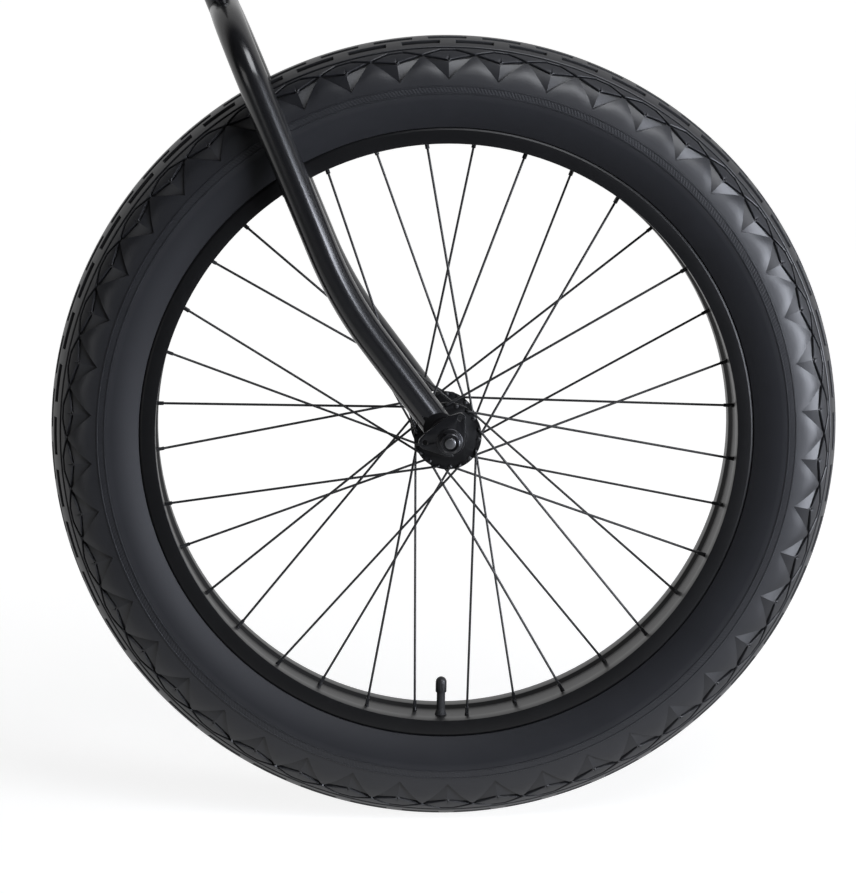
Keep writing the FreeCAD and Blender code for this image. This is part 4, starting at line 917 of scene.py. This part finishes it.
# %% Spokes
FLANGE_OFFSET = 38.0
FLANGE_HALF = 1.7
SPOKE_RADIUS = 1.15
SPOKE_CIRCLE = 29.0
SPOKES_IN_SET = 9
ELBOW_GAP = 0.6
ELBOW_BEND = 2.0 * MM
ELBOW_STEPS = 5
SPOKE_SIDES = 10
HEAD_RADIUS = 2.2 * MM
HEAD_FLATTENING = 0.55
TIP_RADIUS = 277.0
TIP_OFFSET = 11.0
# Side, first rim hole and turn to its flange hole in degrees, and the side that the head is on
spoke_sets = {
    "spokes_left_trailing": (LEFT, 4.0, 60.0, 1),
    "spokes_right_leading": (RIGHT, 14.0, -60.0, 1),
    "spokes_left_leading": (LEFT, 24.0, -60.0, -1),
    "spokes_right_trailing": (RIGHT, 34.0, 60.0, -1),
}


def wheel_spot(radius, degrees, axial):
    turn = math.radians(degrees)
    return HUB + Vector((radius * math.cos(turn), axial, radius * math.sin(turn))) * MM


def make_spokes(name, node):
    side, first, turn, head_way = spoke_sets[node]
    outward = side * head_way
    head = wheel_spot(SPOKE_CIRCLE, first + turn, side * FLANGE_OFFSET + outward * FLANGE_HALF)
    lift = FLANGE_HALF + SPOKE_RADIUS + ELBOW_GAP
    elbow = wheel_spot(SPOKE_CIRCLE, first + turn, side * FLANGE_OFFSET - outward * lift)
    tip = wheel_spot(TIP_RADIUS, first, side * TIP_OFFSET)
    bm = bmesh.new()
    bend_tube(bm, [head, elbow, tip], [ELBOW_BEND], SPOKE_RADIUS * MM, SPOKE_SIDES, ELBOW_STEPS)
    dome = facing(head, AXLE * outward) @ Matrix.Diagonal((1, 1, HEAD_FLATTENING, 1))
    bmesh.ops.create_uvsphere(bm, u_segments=14, v_segments=8, radius=HEAD_RADIUS, matrix=dome)
    copies = SPOKES_IN_SET - 1
    bmesh.ops.spin(bm, geom=whole(bm), cent=HUB, axis=AXLE, angle=FULL_TURN * copies / SPOKES_IN_SET,
                   steps=copies, use_duplicate=True)
    finish_piece(name, bm, "wheel", black_wire, [node], sharp_angle=40)


for node in spoke_sets:
    make_spokes(node.replace("spokes", "wire"), node)

# %% [markdown]
# The valve cap is a small moulding with grip flutes and a domed tip. Its section is spun round the
# valve's own radius of the wheel, and every fourth column of points is drawn in for a flute.

# %% Valve cap
valve_turn = math.radians(269.0)
valve_out = Vector((math.cos(valve_turn), 0, math.sin(valve_turn)))
CAP_TIP = 236.9 * MM
CAP_RADIUS = 5.2 * MM
CAP_LENGTH = 15.0
FLUTES = 14
FLUTE_DEPTH = 0.5 * MM
cap = bmesh.new()
cap_outline = [(0.0, 0.0), (1.5, 0.2), (2.9, 0.9), (4.1, 2.0), (4.8, 3.2), (5.2, 4.8), (5.2, 14.6),
               (4.9, CAP_LENGTH), (4.2, CAP_LENGTH), (4.1, 14.6), (4.1, 3.0), (0.0, 3.0)]
cap_verts = []
for radius, height in cap_outline:
    spot = HUB + valve_out * (CAP_TIP + height * MM) + AXLE * radius * MM
    cap_verts.append(cap.verts.new(spot))
cap_edges = [cap.edges.new(pair) for pair in zip(cap_verts, cap_verts[1:])]
columns = FLUTES * 4
bmesh.ops.spin(cap, geom=cap_verts + cap_edges, cent=HUB, axis=valve_out, angle=FULL_TURN, steps=columns,
               use_merge=True)
flute_count = 0
for vert in cap.verts:
    along = (vert.co - HUB).dot(valve_out)
    outward = vert.co - HUB - valve_out * along
    turn = math.atan2(outward.dot(AXLE), outward.dot(AXLE.cross(valve_out)))
    column = round((turn - math.pi / 2) / FULL_TURN * columns)
    if outward.length > CAP_RADIUS - TOUCH * MM and column % 4 == 0:
        vert.co -= outward.normalized() * FLUTE_DEPTH
        flute_count += 1
print("flute points drawn in:", flute_count)
finish_piece("fluted_cap", cap, "valve_cap", ribbed_plastic, ["valve_cap"], sharp_angle=50)

# %% [markdown]
# The photograph has a plain white ground, so floor and backdrop show white to the camera and a little less
# than white to reflections. Light Path tells such rays from those that light the object, so the ground's
# glow doesn't raise its level.

# %% Floor and backdrop
MIRROR_LEVEL = 0.68
PAINTED_SHADE_LEVEL = 0.88
FLOOR_REACH = 30.0
BACKDROP_HEIGHT = 15.0
BACKDROP_DISTANCE = 12.0
PAINTED_SHADE_RUN = (0.4, 2.0)
FLOOR_MIRROR_RUN = (-0.7, -0.1)


def background_share(tree, behind):
    """One for rays that see the background itself, and a given share for mirrored ones."""
    rays = add_node(tree, "ShaderNodeLightPath")
    mirrored = combine(tree, "MULTIPLY", rays.outputs["Is Glossy Ray"], behind)
    through = combine(tree, "MAXIMUM", mirrored, rays.outputs["Is Transmission Ray"])
    return combine(tree, "MAXIMUM", through, rays.outputs["Is Camera Ray"])


def make_ground(name):
    """White to the camera, with the glow lowered near the object, a painted shade under it that lets its
    shadow show.
    """
    material = bpy.data.materials.new(name)
    material.use_nodes = True
    tree = material.node_tree
    shader = tree.nodes["Principled BSDF"]
    shader.inputs["Base Color"].default_value = (0.3, 0.3, 0.3, 1)
    shader.inputs["Roughness"].default_value = 1.0
    shader.inputs["Specular IOR Level"].default_value = 0.0
    shader.inputs["Emission Color"].default_value = (1, 1, 1, 1)
    place = add_node(tree, "ShaderNodeTexCoord")
    parts = add_node(tree, "ShaderNodeSeparateXYZ")
    tree.links.new(place.outputs["Object"], parts.inputs["Vector"])
    distance = add_node(tree, "ShaderNodeVectorMath", operation="LENGTH")
    tree.links.new(place.outputs["Object"], distance.inputs[0])
    # Painted shade: the glow is lowered near the object, whether or not light falls there
    near = ramp(tree, distance.outputs["Value"], *PAINTED_SHADE_RUN, PAINTED_SHADE_LEVEL, 1.0)
    behind = ramp(tree, parts.outputs["Y"], *FLOOR_MIRROR_RUN, 0.0, MIRROR_LEVEL)
    seen = background_share(tree, behind)
    tree.links.new(combine(tree, "MULTIPLY", seen, near), shader.inputs["Emission Strength"])
    return material


def make_sheet(name, matrix, material):
    bm = bmesh.new()
    bmesh.ops.create_grid(bm, x_segments=1, y_segments=1, size=1.0)
    bmesh.ops.transform(bm, verts=bm.verts, matrix=matrix)
    mesh = bpy.data.meshes.new(name)
    bm.to_mesh(mesh)
    bm.free()
    mesh.materials.append(material)
    made = bpy.data.objects.new(name, mesh)
    bpy.context.scene.collection.objects.link(made)


ground = make_ground("pale_ground")
make_sheet("floor", Matrix.Diagonal((FLOOR_REACH, FLOOR_REACH, 1, 1)), ground)
upright = Matrix.Translation((0, BACKDROP_DISTANCE, 0)) @ Matrix.Rotation(math.pi / 2, 4, "X")
make_sheet("backdrop", upright @ Matrix.Diagonal((FLOOR_REACH, BACKDROP_HEIGHT, 1, 1)), ground)
print("ground:", ground.name)

# %% [markdown]
# The strongest lamp is a wide, tall one at the right, near the height of the hub: it gives the long
# highlights on the blades and on the right shoulder of the tyre. A second one above lights the upper
# domes, and a weak one at the left keeps that side from going black. The world is white behind the
# object for the camera and for reflections, and dim otherwise.

# %% Lamps and world
DIM_LEVEL = 0.01
WORLD_MIRROR_RUN = (-0.2, 0.2)


def area_lamp(name, place, width, height, power, tint):
    data = bpy.data.lights.new(name, "AREA")
    data.shape = "RECTANGLE"
    data.size = width
    data.size_y = height
    data.energy = power
    data.color = tint
    lamp = bpy.data.objects.new(name, data)
    lamp.location = place
    lamp.rotation_euler = (HUB - Vector(place)).to_track_quat("-Z", "Y").to_euler()
    bpy.context.scene.collection.objects.link(lamp)


area_lamp("key", (2.43, -1.76, 0.46), width=2.0, height=1.6, power=142, tint=(0.86, 0.90, 1.0))
area_lamp("fill", (-2.2, -2.2, 0.5), width=1.2, height=1.0, power=5, tint=(1.0, 1.0, 1.0))
area_lamp("top", (1.0, -1.9, 2.5), width=1.4, height=1.4, power=45, tint=(0.94, 0.96, 1.0))


def make_surround(name):
    """White behind and beside the object, for the camera and for reflections, and dim to the rest."""
    world = bpy.data.worlds.new(name)
    world.use_nodes = True
    tree = world.node_tree
    direction = add_node(tree, "ShaderNodeTexCoord")
    parts = add_node(tree, "ShaderNodeSeparateXYZ")
    tree.links.new(direction.outputs["Generated"], parts.inputs["Vector"])
    behind = ramp(tree, parts.outputs["Y"], *WORLD_MIRROR_RUN, 0.0, MIRROR_LEVEL)
    glow = ramp(tree, background_share(tree, behind), 0.0, 1.0, DIM_LEVEL, 1.0)
    background = tree.nodes["Background"]
    background.inputs["Color"].default_value = (1, 1, 1, 1)
    tree.links.new(glow, background.inputs["Strength"])
    return world


bpy.context.scene.world = make_surround("studio")
bpy.context.scene.view_settings.view_transform = "Standard"
print("lamps:", len(bpy.data.lights))
